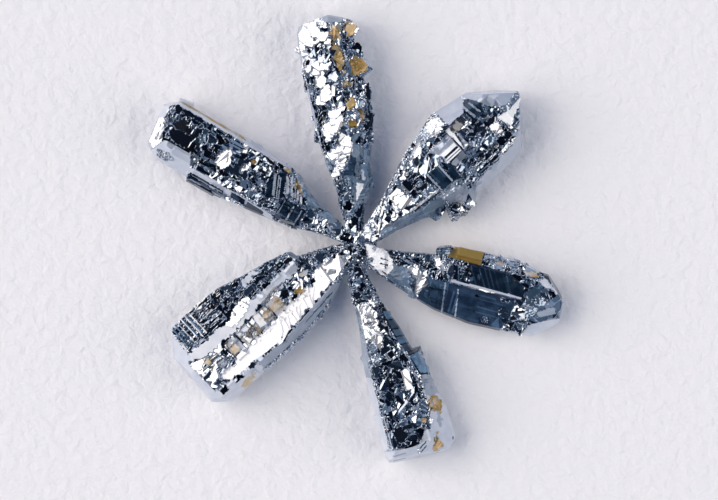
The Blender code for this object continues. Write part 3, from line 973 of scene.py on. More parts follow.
class Blocks:
    """Crystal blocks on a skin. Each is the space below its caps and inside its four sides."""

    def __init__(
        self, skin: Skin, members: np.ndarray, growth: Growth, draw: np.random.Generator, turn: np.ndarray,
        share: float = 1.0, level: float = 0.0,
    ) -> None:
        """Sows blocks of a growth over some points of a skin.

        Args:
            skin: The skin that they stand on.
            members: The points where they may start.
            growth: Their recipe.
            draw: The source of chance.
            turn: The turn from the frame to the crystal's own axes.
            share: The part of the points that they cover.
            level: How far all of them are raised.
        """
        self.growth, self.draw = growth, draw
        chance = share * growth.crowd * NET_PITCH**2 / (growth.size**2 * growth.longer)
        spots = members[draw.random(len(members)) < chance]
        if not len(spots):
            spots = members[:1]
        count = len(spots)
        base = skin.normals[spots]
        self.place = skin.points[spots] + base * (skin.lift[spots] + level)[:, None]
        size = growth.size * np.exp(draw.normal(0, SIZE_SPREAD, count))
        free = growth.heading is None
        heading = draw.uniform(0, math.tau, count)
        if not free:
            heading = math.radians(growth.heading) + draw.normal(0, HEADING_SPREAD, count)
        sides, reaches = [], []
        for quarter in range(4):
            askew = draw.normal(0, FREE_TURN if free else HELD_TURN, count)
            azimuth = heading + quarter * math.pi / 2 + askew
            flat = np.stack((np.cos(azimuth), np.sin(azimuth), np.zeros(count)), 1)
            flat -= base * (flat * base).sum(1, keepdims=True)
            flat /= np.maximum(np.linalg.norm(flat, axis=1, keepdims=True), 1e-3)
            tilt = np.radians(draw.uniform(*growth.sides, count))[:, None]
            sides.append(np.cos(tilt) * base + np.sin(tilt) * flat)
            long = growth.longer if quarter % 2 == 0 else 1.0
            reaches.append(size * long * draw.uniform(*SIDE_REACH, count) * np.sin(tilt[:, 0]))
        caps, cap_reaches, steep = [], [], []
        rise = draw.uniform(-1.0, 0.0, count) * growth.height
        for number in range(growth.caps):
            lean = leans(growth, base, draw, turn)
            slope = np.clip((lean * base).sum(1), *CAP_SLOPE)
            steep.append(slope)
            sunk = CAP_SINK * size * np.minimum(np.sqrt(1 - slope**2) / slope, MOST_SINK)
            beside = flat * (draw.uniform(-CAP_SHIFT, CAP_SHIFT, count) * size * (number > 0))[:, None]
            caps.append(lean)
            cap_reaches.append((rise - sunk) * slope + (beside * lean).sum(1))
        self.normals = np.stack(caps + sides, 1)
        self.steep = np.stack(steep, 1)
        self.reaches = np.stack(cap_reaches + reaches, 1)

    def over(self, skin: Skin, members: np.ndarray) -> tuple:
        """Finds the block face over each point.

        Args:
            skin: The skin below.
            members: The points asked about.

        Returns:
            The height of the face over the point along its normal, the number of the face, and how far the
            face is stepped down.
        """
        points, normals = skin.points[members], skin.normals[members]
        near = self._nearest(points)
        away = points[:, None, :] - self.place[near]
        faces = self.normals[near]
        slope = np.maximum((faces * normals[:, None, None, :]).sum(3), LEAST_SLOPE)
        height = (self.reaches[near] - (faces * away[:, :, None, :]).sum(3)) / slope
        caps, deepest = self.growth.caps, -self.growth.depth
        cap = height[:, :, :caps].argmin(2)
        rows, columns = np.indices(cap.shape)
        top, lean = height[rows, columns, cap], slope[rows, columns, cap]
        pace = self.growth.step * self.steep[near, cap]
        steps = np.where(top > MOST_LIFT, np.ceil((top - MOST_LIFT) * lean / pace), 0)
        steps -= np.where(top < deepest, np.ceil((deepest - top) * lean / pace), 0)
        top -= steps * pace / lean
        wall = height[:, :, caps:].argmin(2) + caps
        side = height[rows, columns, wall]
        height = np.minimum(top, side)
        best = height.argmax(1)
        rows = np.arange(len(points))
        walled = (side < top)[rows, best]
        face = np.where(walled, wall[rows, best], cap[rows, best])
        down = np.where(walled, 0.0, (steps * pace)[rows, best])
        return height[rows, best], near[rows, best] * self.reaches.shape[1] + face, down

    def _nearest(self, points: np.ndarray) -> np.ndarray:
        """Finds the blocks near each point, with long blocks reaching further along their heading.

        Args:
            points: The points.

        Returns:
            The numbers of the blocks, a row for each point.
        """
        squeeze = np.eye(3)
        wanted = FREE_NEAREST
        if self.growth.heading is not None:
            angle = math.radians(self.growth.heading)
            along = np.array((math.cos(angle), math.sin(angle), 0.0))
            squeeze -= np.outer(along, along) * (1 - 1 / self.growth.longer)
            wanted = HELD_NEAREST
        tree = tree_of(self.place @ squeeze)
        wanted = min(wanted, len(self.place))
        return np.array([[hit[1] for hit in tree.find_n(point, wanted)] for point in points @ squeeze])


def leans(growth: Growth, base: np.ndarray, draw: np.random.Generator, turn: np.ndarray) -> np.ndarray:
    """Draws the way that caps face.

    Args:
        growth: The growth that they belong to.
        base: The skin's own way below each of them.
        draw: The source of chance.
        turn: The turn from the frame to the crystal's own axes.

    Returns:
        The unit normals of the caps, in the crystal's own axes.
    """
    kinds = list(growth.leans)
    weights = np.array([growth.leans[kind] for kind in kinds])
    chosen = draw.choice(len(kinds), len(base), p=weights / weights.sum())
    aims = np.empty((len(base), 3))
    for number, kind in enumerate(kinds):
        mine = chosen == number
        if kind is Lean.OWN:
            aims[mine] = base[mine] + draw.normal(0, math.radians(growth.wander), (mine.sum(), 3))
        else:
            (low, high), (least, most) = kind.value
            azimuth = draw.uniform(low, high, mine.sum())
            tilt = draw.uniform(least, most, mine.sum())
            if growth.loyal:
                own = base[mine] @ turn
                middle = (low + high) / 2
                off = (np.degrees(np.arctan2(own[:, 1], own[:, 0])) - middle + 180) % 360 - 180
                azimuth = loyal(azimuth, middle + np.clip(off, low - middle, high - middle))
                tilt = loyal(tilt, np.clip(np.degrees(np.arccos(np.clip(own[:, 2], -1, 1))), least, most))
            azimuth, tilt = np.radians(azimuth), np.radians(tilt)
            aim = (np.sin(tilt) * np.cos(azimuth), np.sin(tilt) * np.sin(azimuth), np.cos(tilt))
            aims[mine] = np.stack(aim, 1) @ turn.T
    return aims / np.linalg.norm(aims, axis=1, keepdims=True)


def loyal(drawn: np.ndarray, own: np.ndarray) -> np.ndarray:
    """Angles drawn by chance, held close to the skin's own."""
    return FREEDOM * drawn + (1 - FREEDOM) * own


def ramp(values: np.ndarray, start: float, width: float) -> np.ndarray:
    """How far values are through a range, from 0 to 1."""
    return np.clip((values - start) / width, 0.0, 1.0)


def softened(normals: np.ndarray, ends: np.ndarray) -> np.ndarray:
    """Evens the normals of a net out over their neighbours.

    Args:
        normals: The normals.
        ends: The two points of each edge.

    Returns:
        The even normals.
    """
    first, second = ends.T
    for _ in range(SOFTENING):
        total = normals.copy()
        for axis in range(3):
            total[:, axis] += np.bincount(first, normals[second, axis], len(normals))
            total[:, axis] += np.bincount(second, normals[first, axis], len(normals))
        normals = total / np.maximum(np.linalg.norm(total, axis=1, keepdims=True), 1e-6)
    return normals


def tree_of(places: np.ndarray) -> KDTree:
    """Sorts places for finding the nearest ones.

    Args:
        places: The places.

    Returns:
        The tree that finds them.
    """
    tree = KDTree(len(places))
    for number, place in enumerate(places):
        tree.insert(place, number)
    tree.balance()
    return tree


def read(items: bpy.types.bpy_prop_collection, label: str, width: int, kind: type) -> np.ndarray:
    """Reads numbers of each item of a mesh.

    Args:
        items: The items.
        label: Which of their values is read.
        width: How many numbers that is.
        kind: Their type.

    Returns:
        A row for each item.
    """
    values = np.empty(len(items) * width, kind)
    items.foreach_get(label, values)
    return values.reshape(-1, width)


def select_only(piece: bpy.types.Object) -> None:
    """Selects one object and makes it active.

    Args:
        piece: The object.
    """
    for other in bpy.context.view_layer.objects:
        other.select_set(False)
    piece.select_set(True)
    bpy.context.view_layer.objects.active = piece


# The crystal at the top: white faces on its left half, grey ones with gold on its right half.
NORTH = [
    # The stem.
    ragged(BLUE, (0.0, -1.2), (0.0, 1.0), (3.4, 1.0), (3.6, 0.3), (2.3, -0.2), (2.0, -1.2)),
    ragged(BLUE_PAINTED_SHADE, (2.1, -0.2), (3.6, 0.2), (4.6, -0.3), (5.6, -0.4), (5.8, -1.6), (2.0, -1.6)),
    # The left half, white faces and the dark gaps between them.
    ragged(SPECKLED, (3.4, 1.4), (9.2, 1.9), (9.2, 0.3), (7.4, -0.3), (5.6, -0.3), (3.6, 0.3)),
    ragged(PATCH, (3.4, 0.95), (4.2, 0.6), (4.7, 1.1), (5.1, 0.4), (5.7, -0.3), (4.8, -0.4), (3.6, 0.5)),
    ragged(DARK, (4.8, 1.4), (5.35, 1.2), (5.5, 0.5), (5.9, 0.05), (5.8, -0.3), (5.3, 0.1), (4.9, 0.5)),
    ragged(PATCH, (5.35, 0.85), (5.8, 1.05), (6.3, 0.75), (6.7, -0.1), (6.3, -0.15), (5.8, 0.15)),
    ragged(DARK, (6.1, 1.2), (7.2, 1.3), (7.1, 0.7), (6.7, 0.6), (6.4, 0.45)),
    ragged(PATCH, (6.4, 0.5), (6.75, 0.65), (7.35, -0.1), (6.9, -0.2), (6.5, 0.1)),
    ragged(PATCH, (7.2, 1.1), (7.6, 1.15), (8.25, 0.6), (8.1, 0.3), (7.4, 0.35)),
    ragged(DARK, (8.0, 0.1), (8.3, 0.5), (8.9, 0.55), (8.95, 0.0), (8.2, -0.1)),
    ragged(PATCH, (8.0, 0.8), (8.2, 1.1), (8.9, 1.1), (8.95, 0.65), (8.35, 0.52)),
    ragged(DARK, (6.6, 1.25), (6.9, 1.6), (8.9, 1.75), (9.0, 1.4), (8.2, 1.2), (7.4, 1.25)),
    ragged(PATCH, (8.6, 1.0), (9.0, 1.8), (11.0, 2.0), (11.6, 0.9), (11.4, 0.2), (10.2, 0.05), (9.1, 0.2)),
    ragged(SPECKLED, (9.3, 0.8), (9.5, 1.25), (10.1, 1.3), (10.3, 0.8), (10.1, 0.15), (9.2, 0.1)),
    spot(DARK, 10.0, 1.25, 0.16, 0.1), spot(DARK, 10.55, 0.75, 0.1, 0.16), spot(DARK, 9.55, 0.85, 0.2, 0.08),
    spot(JUMBLE, 10.9, 0.4, 0.12, 0.16), spot(DARK, 11.2, 0.65, 0.07, 0.12),
    spot(DARK, 10.3, 0.5, 0.08, 0.2), spot(JUMBLE, 9.2, 1.35, 0.35, 0.16), spot(DARK, 2.0, 0.25, 0.4, 0.22),
    # The right half.
    ragged(GREY, (5.6, -0.3), (8.0, -0.3), (10.3, 0.0), (11.2, 0.1), (11.8, 0.3), (11.2, -1.6), (5.8, -1.3)),
    ragged(sized(BLUE, 0.26), (9.4, -0.5), (10.3, -0.5), (10.3, -1.6), (9.4, -1.6)),
    ragged(SPECKLED, (7.5, -0.7), (8.4, -0.7), (8.4, -1.8), (7.6, -1.6)),
    ragged(MAZE, (4.8, -0.9), (6.0, -1.1), (8.0, -1.35), (8.0, -1.9), (5.0, -1.6)),
    sharp(BLACK_SLAB, (6.5, -1.35), (7.95, -1.35), (7.95, -1.9), (6.6, -1.8)),
    # A white line on the stem, and slate at the tip.
    sharp(WHITE_LINE, (2.2, -0.2), (3.15, -0.35), (3.05, -0.75)),
    sharp(SLATE, (11.3, 0.4), (11.9, 0.2), (11.9, -1.0), (11.2, -0.6)),
    # The gold.
    ragged(GILT, (9.0, -0.08), (10.2, 0.03), (10.2, -0.28), (9.3, -0.5), (8.6, -0.42)),
    ragged(sized(GILT, 0.5), (10.3, 0.02), (11.2, -0.1), (11.0, -0.5), (10.4, -0.42)),
    ragged(GILT, (10.4, -0.85), (11.2, -0.6), (11.0, -1.4), (10.6, -1.1)),
    ragged(GILT, (8.5, -0.8), (9.4, -0.72), (9.35, -1.2), (9.0, -1.7), (8.6, -1.5)),
    spot(GILT, 8.1, -0.5, 0.14, 0.28), spot(GILT, 7.1, -0.55, 0.3, 0.26), spot(GILT, 6.05, -0.55, 0.2, 0.22),
    spot(GILT, 6.4, -1.02, 0.36, 0.1),
    # The hub and the neck.
    spot(HUB_MIX, 0.6, 0.0, 0.9, 0.9),
    sharp(shaded(BLUE_FACET, 0.2), (3.6, 0.3), (4.5, -0.25), (4.4, -0.5), (3.5, -0.3)),
    spot(DARK, 4.2, -0.8, 0.25, 0.12), spot(DARK, 5.2, -0.9, 0.3, 0.25), spot(PALE, 3.5, -0.75, 0.3, 0.08),
]

# The one at the upper right: a framed white window, a dark maze and a pale pointed end.
NORTH_EAST = [
    # The stem and the neck.
    ragged(SPECKLED, (0.4, -0.2), (0.6, 0.6), (3.3, 1.3), (3.7, 0.8), (3.4, 0.0), (2.2, -0.25)),
    ragged(
        SMOOTH_BLUE, (0.3, -0.25), (2.4, -0.3), (3.4, -0.7), (4.8, -0.95), (4.8, -1.5), (4.0, -2.2),
        (0.3, -1.2),
    ),
    ragged(BLUE, (1.2, 0.7), (1.6, 0.35), (3.2, 0.9), (4.8, 0.9), (6.3, 1.7), (6.2, 2.6), (3.4, 1.9)),
    ragged(PATCH, (2.8, 0.5), (3.1, 0.55), (3.5, 0.1), (3.55, -0.3), (2.8, -0.15)),
    ragged(MAZE, (3.4, 0.85), (4.6, 0.85), (4.8, 0.3), (4.6, -0.25), (3.7, -0.25)),
    sharp(shaded(BLUE_FACET, 0.08), (4.9, 0.25), (6.0, 0.15), (6.2, -0.4), (6.15, -0.95), (4.95, -0.85)),
    ragged(replace(SMOOTH_BLUE, painted_shade=0.5), (4.6, -0.85), (6.2, -1.0), (6.2, -1.45), (4.8, -1.3)),
    # The left shoulder.
    ragged(SPECKLED, (4.4, 1.0), (5.2, 1.6), (6.3, 2.6), (7.4, 2.6), (7.5, 1.4), (6.9, 1.1), (5.0, 0.8)),
    ragged(PATCH, (6.55, 1.25), (6.4, 1.8), (6.7, 2.1), (7.2, 2.0), (7.3, 1.5)),
    ragged(PATCH, (5.0, 1.3), (5.4, 1.7), (6.2, 1.9), (5.8, 1.4), (5.4, 1.2)),
    # The framed window and the lines beside it.
    sharp(MAZE, (6.3, 1.25), (7.35, 1.25), (7.3, 1.0), (6.4, 1.0)),
    sharp(
        replace(PALE, tone=(0.1, 0.1), painted_sheen=0.8), (5.75, 1.0), (7.1, 1.0), (7.1, -0.4), (6.3, -0.45),
        (6.12, 0.45),
    ),
    sharp(BLACK_LINE, (6.15, 0.5), (7.02, 0.5), (7.05, -0.12), (6.25, -0.15)),
    *grooves(WHITE_LINE, (6.15, 7.1), (-0.04, 0.48), 4, 0.085),
    sharp(WHITE_LINE, (7.14, 1.2), (7.38, 1.2), (7.3, 0.2), (7.2, -0.1)),
    sharp(BLACK_LINE, (7.1, 1.0), (7.15, 1.0), (7.18, -0.1), (7.1, -0.1)),
    # The left flank of the head.
    sharp(shaded(PALE, 0.1), (7.45, 1.25), (7.45, 2.6), (9.3, 2.6), (8.85, 1.75), (8.45, 1.25)),
    ragged(
        replace(PAINTED_SHEEN_GILT, painted_sheen=0.6, gold=0.35, tone=(0.2, 0.2)), (7.45, 0.7), (7.9, 0.75), (7.9, 1.2),
        (7.5, 1.2),
    ),
    ragged(BLUE_ACROSS, (7.9, 1.25), (8.5, 1.25), (8.5, 0.75), (7.9, 0.8)),
    sharp(shaded(BLUE_FACET, 0.15), (8.45, 1.3), (8.9, 1.7), (9.4, 1.1), (9.2, 0.5), (8.6, 0.7)),
    *comb(SLATE, (8.75, 9.1), (0.7, 1.5), 2, 0.09, slant=-0.15),
    *comb(BLACK_LINE, (8.65, 9.2), (0.6, 1.4), 2, 0.08, slant=-0.1),
    *comb(BLACK_LINE, (10.25, 10.85), (0.2, 0.6), 4, 0.05),
    # The top of the head.
    ragged(JUMBLE, (7.3, 0.8), (8.6, 0.8), (9.4, 0.5), (9.9, 0.5), (9.8, 0.2), (7.3, 0.2)),
    ragged(DARK, (7.3, 0.3), (9.0, 0.25), (9.8, 0.25), (9.7, -0.1), (8.6, -0.15), (7.3, -0.05)),
    ragged(sized(GREY, 0.28), (6.2, -0.4), (7.3, -0.1), (9.2, -0.2), (9.2, -1.3), (7.5, -1.7), (6.2, -1.4)),
    ragged(sized(BLUE, 0.28), (7.6, -0.6), (9.0, -0.5), (9.2, -1.3), (7.5, -1.7), (6.2, -1.4), (6.4, -0.9)),
    ragged(DARK, (9.0, -0.7), (9.6, -0.6), (9.6, -1.4), (9.1, -1.4)),
    spot(sized(SPECKLED, 0.2), 7.55, -0.8, 0.45, 0.28), spot(sized(GREY, 0.2), 8.4, -0.75, 0.45, 0.25),
    spot(SPECKLED, 5.95, 1.25, 0.4, 0.2), spot(DARK, 8.4, -0.22, 0.35, 0.16),
    spot(GREY, 5.95, -1.2, 0.35, 0.14),
    # The pointed end.
    ragged(PATCH, (8.9, -0.2), (9.4, -0.2), (9.3, -0.6), (9.0, -0.9)),
    sharp(WHITE_LINE, (9.5, -0.08), (10.2, -0.2), (11.3, -0.1), (10.2, -0.55), (9.7, -0.85)),
    sharp(
        replace(PALE, painted_sheen=0.6, tone=(0.2, 0.2)), (8.9, 2.6), (10.4, 1.5), (11.4, 0.3), (10.2, 0.08),
        (9.6, 0.6), (9.3, 1.2), (8.95, 1.75),
    ),
    # The right flank, and the lump that hangs from it.
    ragged(sized(BLUE, 0.3), (9.4, -1.2), (9.8, -0.8), (10.3, -0.5), (11.2, -0.3), (9.9, -1.6)),
    sharp(
        replace(PALE, painted_sheen=0.8, painted_shade=0.2, tone=(0.3, 0.3)), (5.9, -1.75), (7.4, -1.65), (9.1, -1.6),
        (9.9, -1.2), (9.8, -2.6), (5.7, -3.0),
    ),
    ragged(sized(GREY, 0.4), (4.1, -1.6), (4.9, -1.25), (5.9, -1.4), (6.1, -2.5), (5.4, -3.0), (4.2, -2.8)),
    sharp(SLATE, (4.8, -1.25), (6.1, -1.4), (6.0, -1.75), (5.5, -2.1), (5.0, -1.7)),
    spot(replace(PALE, gold=0.3), 5.4, -1.7, 0.2, 0.16, crisp=True),
    spot(DARK, 5.1, -2.0, 0.16, 0.12, crisp=True),
    # Lines along the stem, the hub, and a comb on the neck.
    sharp(replace(PAINTED_SHEEN_GILT, painted_sheen=1.3, gold=0.25), (3.1, -0.5), (4.9, -0.68), (4.9, -0.76), (3.1, -0.58)),
    sharp(BLACK_LINE, (3.3, -0.62), (4.9, -0.8), (4.9, -0.88), (3.3, -0.7)),
    spot(PAINTED_SHEEN_GILT, 5.4, -1.8, 0.26, 0.2), spot(HUB_MIX, 0.5, 0.0, 0.8, 0.8),
    *comb(SLATE, (5.05, 5.75), (-0.9, 0.25), 2, 0.1), *comb(BLUE_FACET, (5.2, 5.6), (-0.5, 0.25), 2, 0.09),
    spot(SPECKLED, 5.9, -0.1, 0.12, 0.3, crisp=True),
]

# The one at the right: a smooth steel-blue side, a black slab with blue lines, and a domed end.
EAST = [
    # The stem.
    ragged(BLUE_PAINTED_SHADE, (1.0, -0.9), (1.9, -0.35), (3.3, -0.5), (3.7, -2.2), (0.8, -2.0)),
    ragged(BLACK_SLAB, (1.2, 0.8), (3.8, 1.2), (4.0, 0.1), (2.8, -0.25), (1.8, -0.4)),
    *comb(BLUE_FACET, (1.6, 3.7), (0.15, 0.6), 9, 0.09),
    sharp(
        replace(SHEET, size=0.8, longer=1.3, wander=6.0), (0.4, 0.2), (1.3, 0.2), (1.9, -0.2), (2.05, -0.65),
        (1.8, -1.05), (1.0, -0.95), (0.7, -0.5),
    ),
    *grooves(BLACK_LINE, (1.3, 1.75), (-0.5, -0.25), 2, 0.05),
    spot(JUMBLE, 0.85, -0.5, 0.12, 0.14, crisp=True),
    # The neck.
    ragged(
        replace(DARK, size=0.22, grain_share=0.35), (3.2, 0.4), (3.8, 0.8), (5.3, 0.7), (5.8, 0.0),
        (5.2, -0.45), (4.2, -0.65), (3.4, -0.2),
    ),
    ragged(PATCH, (3.9, 0.45), (4.15, 0.5), (4.6, 0.1), (4.45, -0.15), (4.1, 0.0)),
    ragged(GREY, (3.7, 0.6), (3.8, 1.4), (4.9, 1.7), (4.5, 0.7)),
    # The smooth side, with grooves and stray growth on it.
    sharp(STEEL, (3.7, -0.6), (8.3, -0.5), (8.3, -1.5), (7.9, -2.5), (3.7, -2.4)),
    *grooves(replace(BLUE_FACET, tone=(0.0, 0.25)), (5.7, 6.9), (-2.0, -0.9), 3, 0.12),
    *grooves(replace(BLUE_FACET, tone=(0.15, 0.4)), (6.6, 7.9), (-1.7, -0.7), 4, 0.06),
    spot(BLUE, 7.15, -1.9, 0.26, 0.2, crisp=True), spot(JUMBLE, 7.75, -0.72, 0.4, 0.14, crisp=True),
    spot(GREY, 6.45, -0.85, 0.12, 0.06, crisp=True), spot(JUMBLE, 7.95, -1.35, 0.3, 0.25, crisp=True),
    sharp(BLUE_FACET, (7.5, -2.1), (7.75, -1.6), (8.0, -2.2)),
    sharp(shaded(BLUE_FACET, 0.15), (3.7, -0.6), (5.0, -0.6), (5.2, -2.5), (3.6, -2.4)),
    sharp(BLACK_LINE, (4.2, -1.5), (4.9, -1.45), (4.95, -1.8), (4.3, -1.75)),
    sharp(BLACK_LINE, (3.9, -1.0), (4.95, -0.95), (4.95, -1.05), (3.9, -1.12)),
    sharp(BLUE_FACET, (3.9, -0.62), (5.0, -0.58), (4.95, -0.95), (4.1, -1.0)),
    # Its two ends, and the white patch between it and the stem.
    ragged(BLUE, (7.9, -0.5), (9.1, -0.5), (9.3, -2.6), (7.9, -2.6), (8.1, -1.4)),
    ragged(SPECKLED, (7.6, -0.95), (9.2, -0.8), (9.3, -1.4), (7.8, -1.5)),
    ragged(JUMBLE, (7.9, -1.65), (9.1, -1.7), (9.0, -2.6), (8.0, -2.6)),
    sharp(BLACK_LINE, (4.95, -0.6), (5.35, -0.55), (5.7, -2.4), (5.1, -2.4)),
    *comb(SLATE, (5.05, 5.75), (-2.3, -0.6), 2, 0.06, slant=-0.25),
    *comb(BLUE_FACET, (5.3, 5.5), (-2.0, -0.9), 2, 0.07),
    sharp(
        sized(PATCH, 0.7), (2.6, -0.35), (3.1, -0.1), (3.5, -0.5), (3.95, -0.85), (3.75, -1.2), (3.5, -1.7),
        (3.2, -0.7),
    ),
    sharp(DARK, (2.9, -0.6), (3.2, -0.75), (3.4, -1.6), (3.0, -1.1)),
    # The black slab.
    sharp(BLACK_LINE, (5.6, 0.66), (7.6, 0.66), (8.6, 0.2), (8.7, -0.38), (5.4, -0.4)),
    *comb(replace(BLUE_FACET, tone=(0.0, 0.4)), (6.2, 8.1), (-0.34, 0.6), 9, 0.07, slant=-0.5),
    spot(JUMBLE, 5.75, 0.0, 0.2, 0.3, crisp=True), spot(BLUE_FACET, 5.95, -0.1, 0.1, 0.14, crisp=True),
    # The left flank, and the edge below the slab.
    ragged(sized(BLUE, 0.2), (6.2, 0.7), (6.2, 1.7), (8.1, 1.8), (9.2, 1.4), (9.3, 0.9), (8.9, 0.7)),
    ragged(sized(DARK, 0.3), (7.8, 0.7), (8.2, 1.0), (9.2, 1.0), (8.9, 0.7)),
    sharp(shaded(OLIVE, 0.0), (5.35, 0.86), (6.0, 0.84), (6.02, 1.06), (5.5, 1.08), level=-0.04),
    ragged(DARK, (7.6, 0.65), (9.1, 0.75), (8.9, 0.2), (8.5, -0.1), (8.1, 0.3)),
    sharp(PALE, (5.0, -0.37), (8.6, -0.32), (8.6, -0.44), (5.0, -0.5), level=0.04),
    # The domed end.
    ragged(
        DOME, (8.7, 0.0), (9.1, 0.7), (9.7, 0.8), (10.8, 0.2), (11.0, -1.0), (9.5, -2.4), (9.1, -1.2),
        (8.8, -0.5),
    ),
    sharp(PALE, (9.3, -1.6), (10.0, -1.2), (10.9, -0.8), (10.7, -1.5), (9.6, -2.4), (9.1, -2.2)),
    sharp(PALE, (9.2, 0.65), (10.1, 0.15), (10.35, 0.3), (9.5, 0.88)),
    spot(sized(BLUE, 0.3), 9.85, 0.15, 0.4, 0.3, crisp=True),
    spot(WHITE_LINE, 9.72, -0.35, 0.1, 0.12, crisp=True),
    spot(WHITE_LINE, 9.4, -0.75, 0.06, 0.08, crisp=True),
    # The gold, and the last facets of the dome.
    sharp(OLIVE, (4.5, 0.66), (4.95, 1.7), (6.2, 1.7), (6.2, 0.65)),
    spot(PAINTED_SHEEN_GILT, 7.1, 1.0, 0.16, 0.14), spot(PAINTED_SHEEN_GILT, 8.8, 0.9, 0.4, 0.14),
    sharp(shaded(BLUE_FACET, 0.45), (8.7, -0.1), (9.3, 0.62), (9.45, 0.2), (9.05, -0.4)),
    sharp(SLATE, (9.5, -0.9), (10.3, -0.4), (10.5, -0.7), (9.7, -1.1)),
    sharp(
        BLACK_LINE, (9.1, 1.2), (9.7, 1.15), (10.3, 0.7), (10.75, 0.1), (10.5, 0.1), (10.0, 0.65),
        (9.3, 0.95),
    ),
]

# The one at the bottom: dark growth, blue steps along its left flank, and a wide pale foot.
SOUTH = [
    # The stem and the neck.
    ragged(BLUE, (0.0, 0.6), (3.0, 0.6), (3.2, 0.0), (2.6, -1.3), (0.0, -1.2)),
    ragged(
        replace(SPECKLED, size=0.2, longer=3.0, heading=20.0), (2.6, -0.4), (3.2, 0.1), (4.3, 0.3),
        (5.3, 0.55), (6.1, 0.6), (5.9, -0.2), (5.2, -0.9), (2.8, -1.1),
    ),
    ragged(
        replace(PATCH, size=0.2, longer=3.0, heading=15.0, grain_share=0.4, grain_size=0.13), (2.8, -0.3),
        (3.4, 0.05), (4.4, 0.05), (5.1, 0.0), (5.3, -0.2), (4.9, -0.75), (2.9, -0.85),
    ),
    ragged(GREY, (4.8, -0.35), (5.9, -0.3), (6.1, -0.9), (4.8, -0.95)),
    # The left flank, with its blue steps.
    sharp(BLACK_LINE, (3.3, 0.35), (3.4, 1.2), (5.7, 2.3), (6.0, 1.1), (5.2, 0.75), (4.2, 0.45)),
    sharp(SLATY_BLUE, (3.5, 0.42), (3.93, 0.5), (4.0, 1.4), (3.6, 1.2)),
    sharp(shaded(SLATY_BLUE, 0.2), (4.0, 0.5), (4.43, 0.6), (4.55, 1.6), (4.1, 1.4)),
    sharp(SLATY_BLUE, (4.5, 0.62), (4.85, 0.7), (4.92, 1.7), (4.65, 1.6)),
    sharp(SLATY_BLUE, (4.92, 0.72), (5.28, 0.8), (5.35, 1.9), (5.0, 1.7)),
    sharp(shaded(SLATY_BLUE, 0.3), (5.35, 0.82), (5.75, 0.95), (5.7, 2.1), (5.43, 1.9)),
    sharp(shaded(SLATY_BLUE, 0.8), (5.8, 2.3), (7.0, 2.4), (7.1, 1.4), (6.4, 1.1), (6.0, 1.1)),
    ragged(SLATE, (6.9, 2.4), (8.3, 2.4), (8.1, 1.35), (7.0, 1.4)),
    sharp(DARK, (5.8, 1.6), (6.1, 2.1), (6.9, 2.2), (6.7, 1.85), (6.2, 1.75)),
    sharp(BLACK_LINE, (6.1, 1.1), (7.0, 1.35), (7.0, 1.45), (6.1, 1.2)),
    sharp(BLACK_LINE, (6.95, 1.4), (7.05, 1.4), (7.2, 2.1), (7.1, 2.1)),
    # The top of the head.
    ragged(
        DARK, (5.9, 0.55), (7.0, 1.1), (8.2, 1.25), (10.0, 1.3), (10.45, 0.3), (10.3, -1.0), (6.1, -0.95),
    ),
    sharp(PATCH, (6.5, 0.9), (7.6, 0.9), (7.6, 0.52), (6.6, 0.52)),
    sharp(PATCH, (7.05, 1.15), (7.6, 1.4), (7.65, 1.2)),
    ragged(SPECKLED, (7.6, 0.4), (8.6, 0.6), (9.1, 0.3), (8.9, -0.6), (8.2, -0.4), (7.6, 0.0)),
    spot(sized(SPECKLED, 0.24), 7.6, -0.3, 0.4, 0.22), spot(DARK, 2.0, -0.25, 0.4, 0.25),
    ragged(sized(BLUE, 0.5), (9.3, -0.1), (10.3, 0.0), (10.2, -0.9), (9.3, -0.9)),
    # The pale foot and the right flank.
    ragged(PALE, (8.2, 2.6), (11.4, 2.7), (11.4, 0.3), (10.5, 0.3), (10.3, 1.0), (9.4, 1.35), (8.2, 1.4)),
    sharp(PALE, (9.6, 1.0), (10.35, 0.5), (10.6, 0.9), (10.0, 1.2)),
    sharp(PALE, (10.4, 0.3), (11.5, 0.3), (11.4, -1.6), (10.3, -1.6)),
    sharp(PALE, (6.6, -0.98), (10.2, -1.05), (10.4, -1.7), (6.4, -1.5)),
    sharp(SLATE, (4.3, -0.95), (6.6, -0.98), (6.4, -1.5), (4.3, -1.5)),
    spot(WHITE_LINE, 6.1, -1.2, 0.25, 0.08),
    # The gold, the hub and a few dark lines.
    ragged(
        replace(GILT, painted_sheen=0.8, gold=0.7, size=0.2), (8.2, 1.9), (8.7, 2.1), (9.3, 1.9), (9.0, 1.6),
        (8.6, 1.3), (8.3, 1.5),
    ),
    ragged(GILT, (9.8, 1.52), (10.4, 1.45), (10.9, 1.8), (10.7, 1.4), (11.1, 1.2), (10.7, 1.0), (10.4, 1.2)),
    spot(GILT, 9.3, 1.0, 0.15, 0.08), spot(HUB_MIX, 0.3, 0.0, 0.5, 0.7),
    spot(BLACK_LINE, 10.5, 2.15, 0.1, 0.07), spot(SLATE, 9.4, 1.75, 0.5, 0.1),
    *comb(BLACK_LINE, (10.6, 10.8), (0.4, 0.85), 2, 0.06, slant=-0.3),
    *comb(BLACK_LINE, (8.9, 9.2), (1.25, 1.5), 2, 0.08, slant=-0.4),
    *comb(SLATE, (10.65, 10.9), (-1.0, -0.3), 2, 0.06),
]

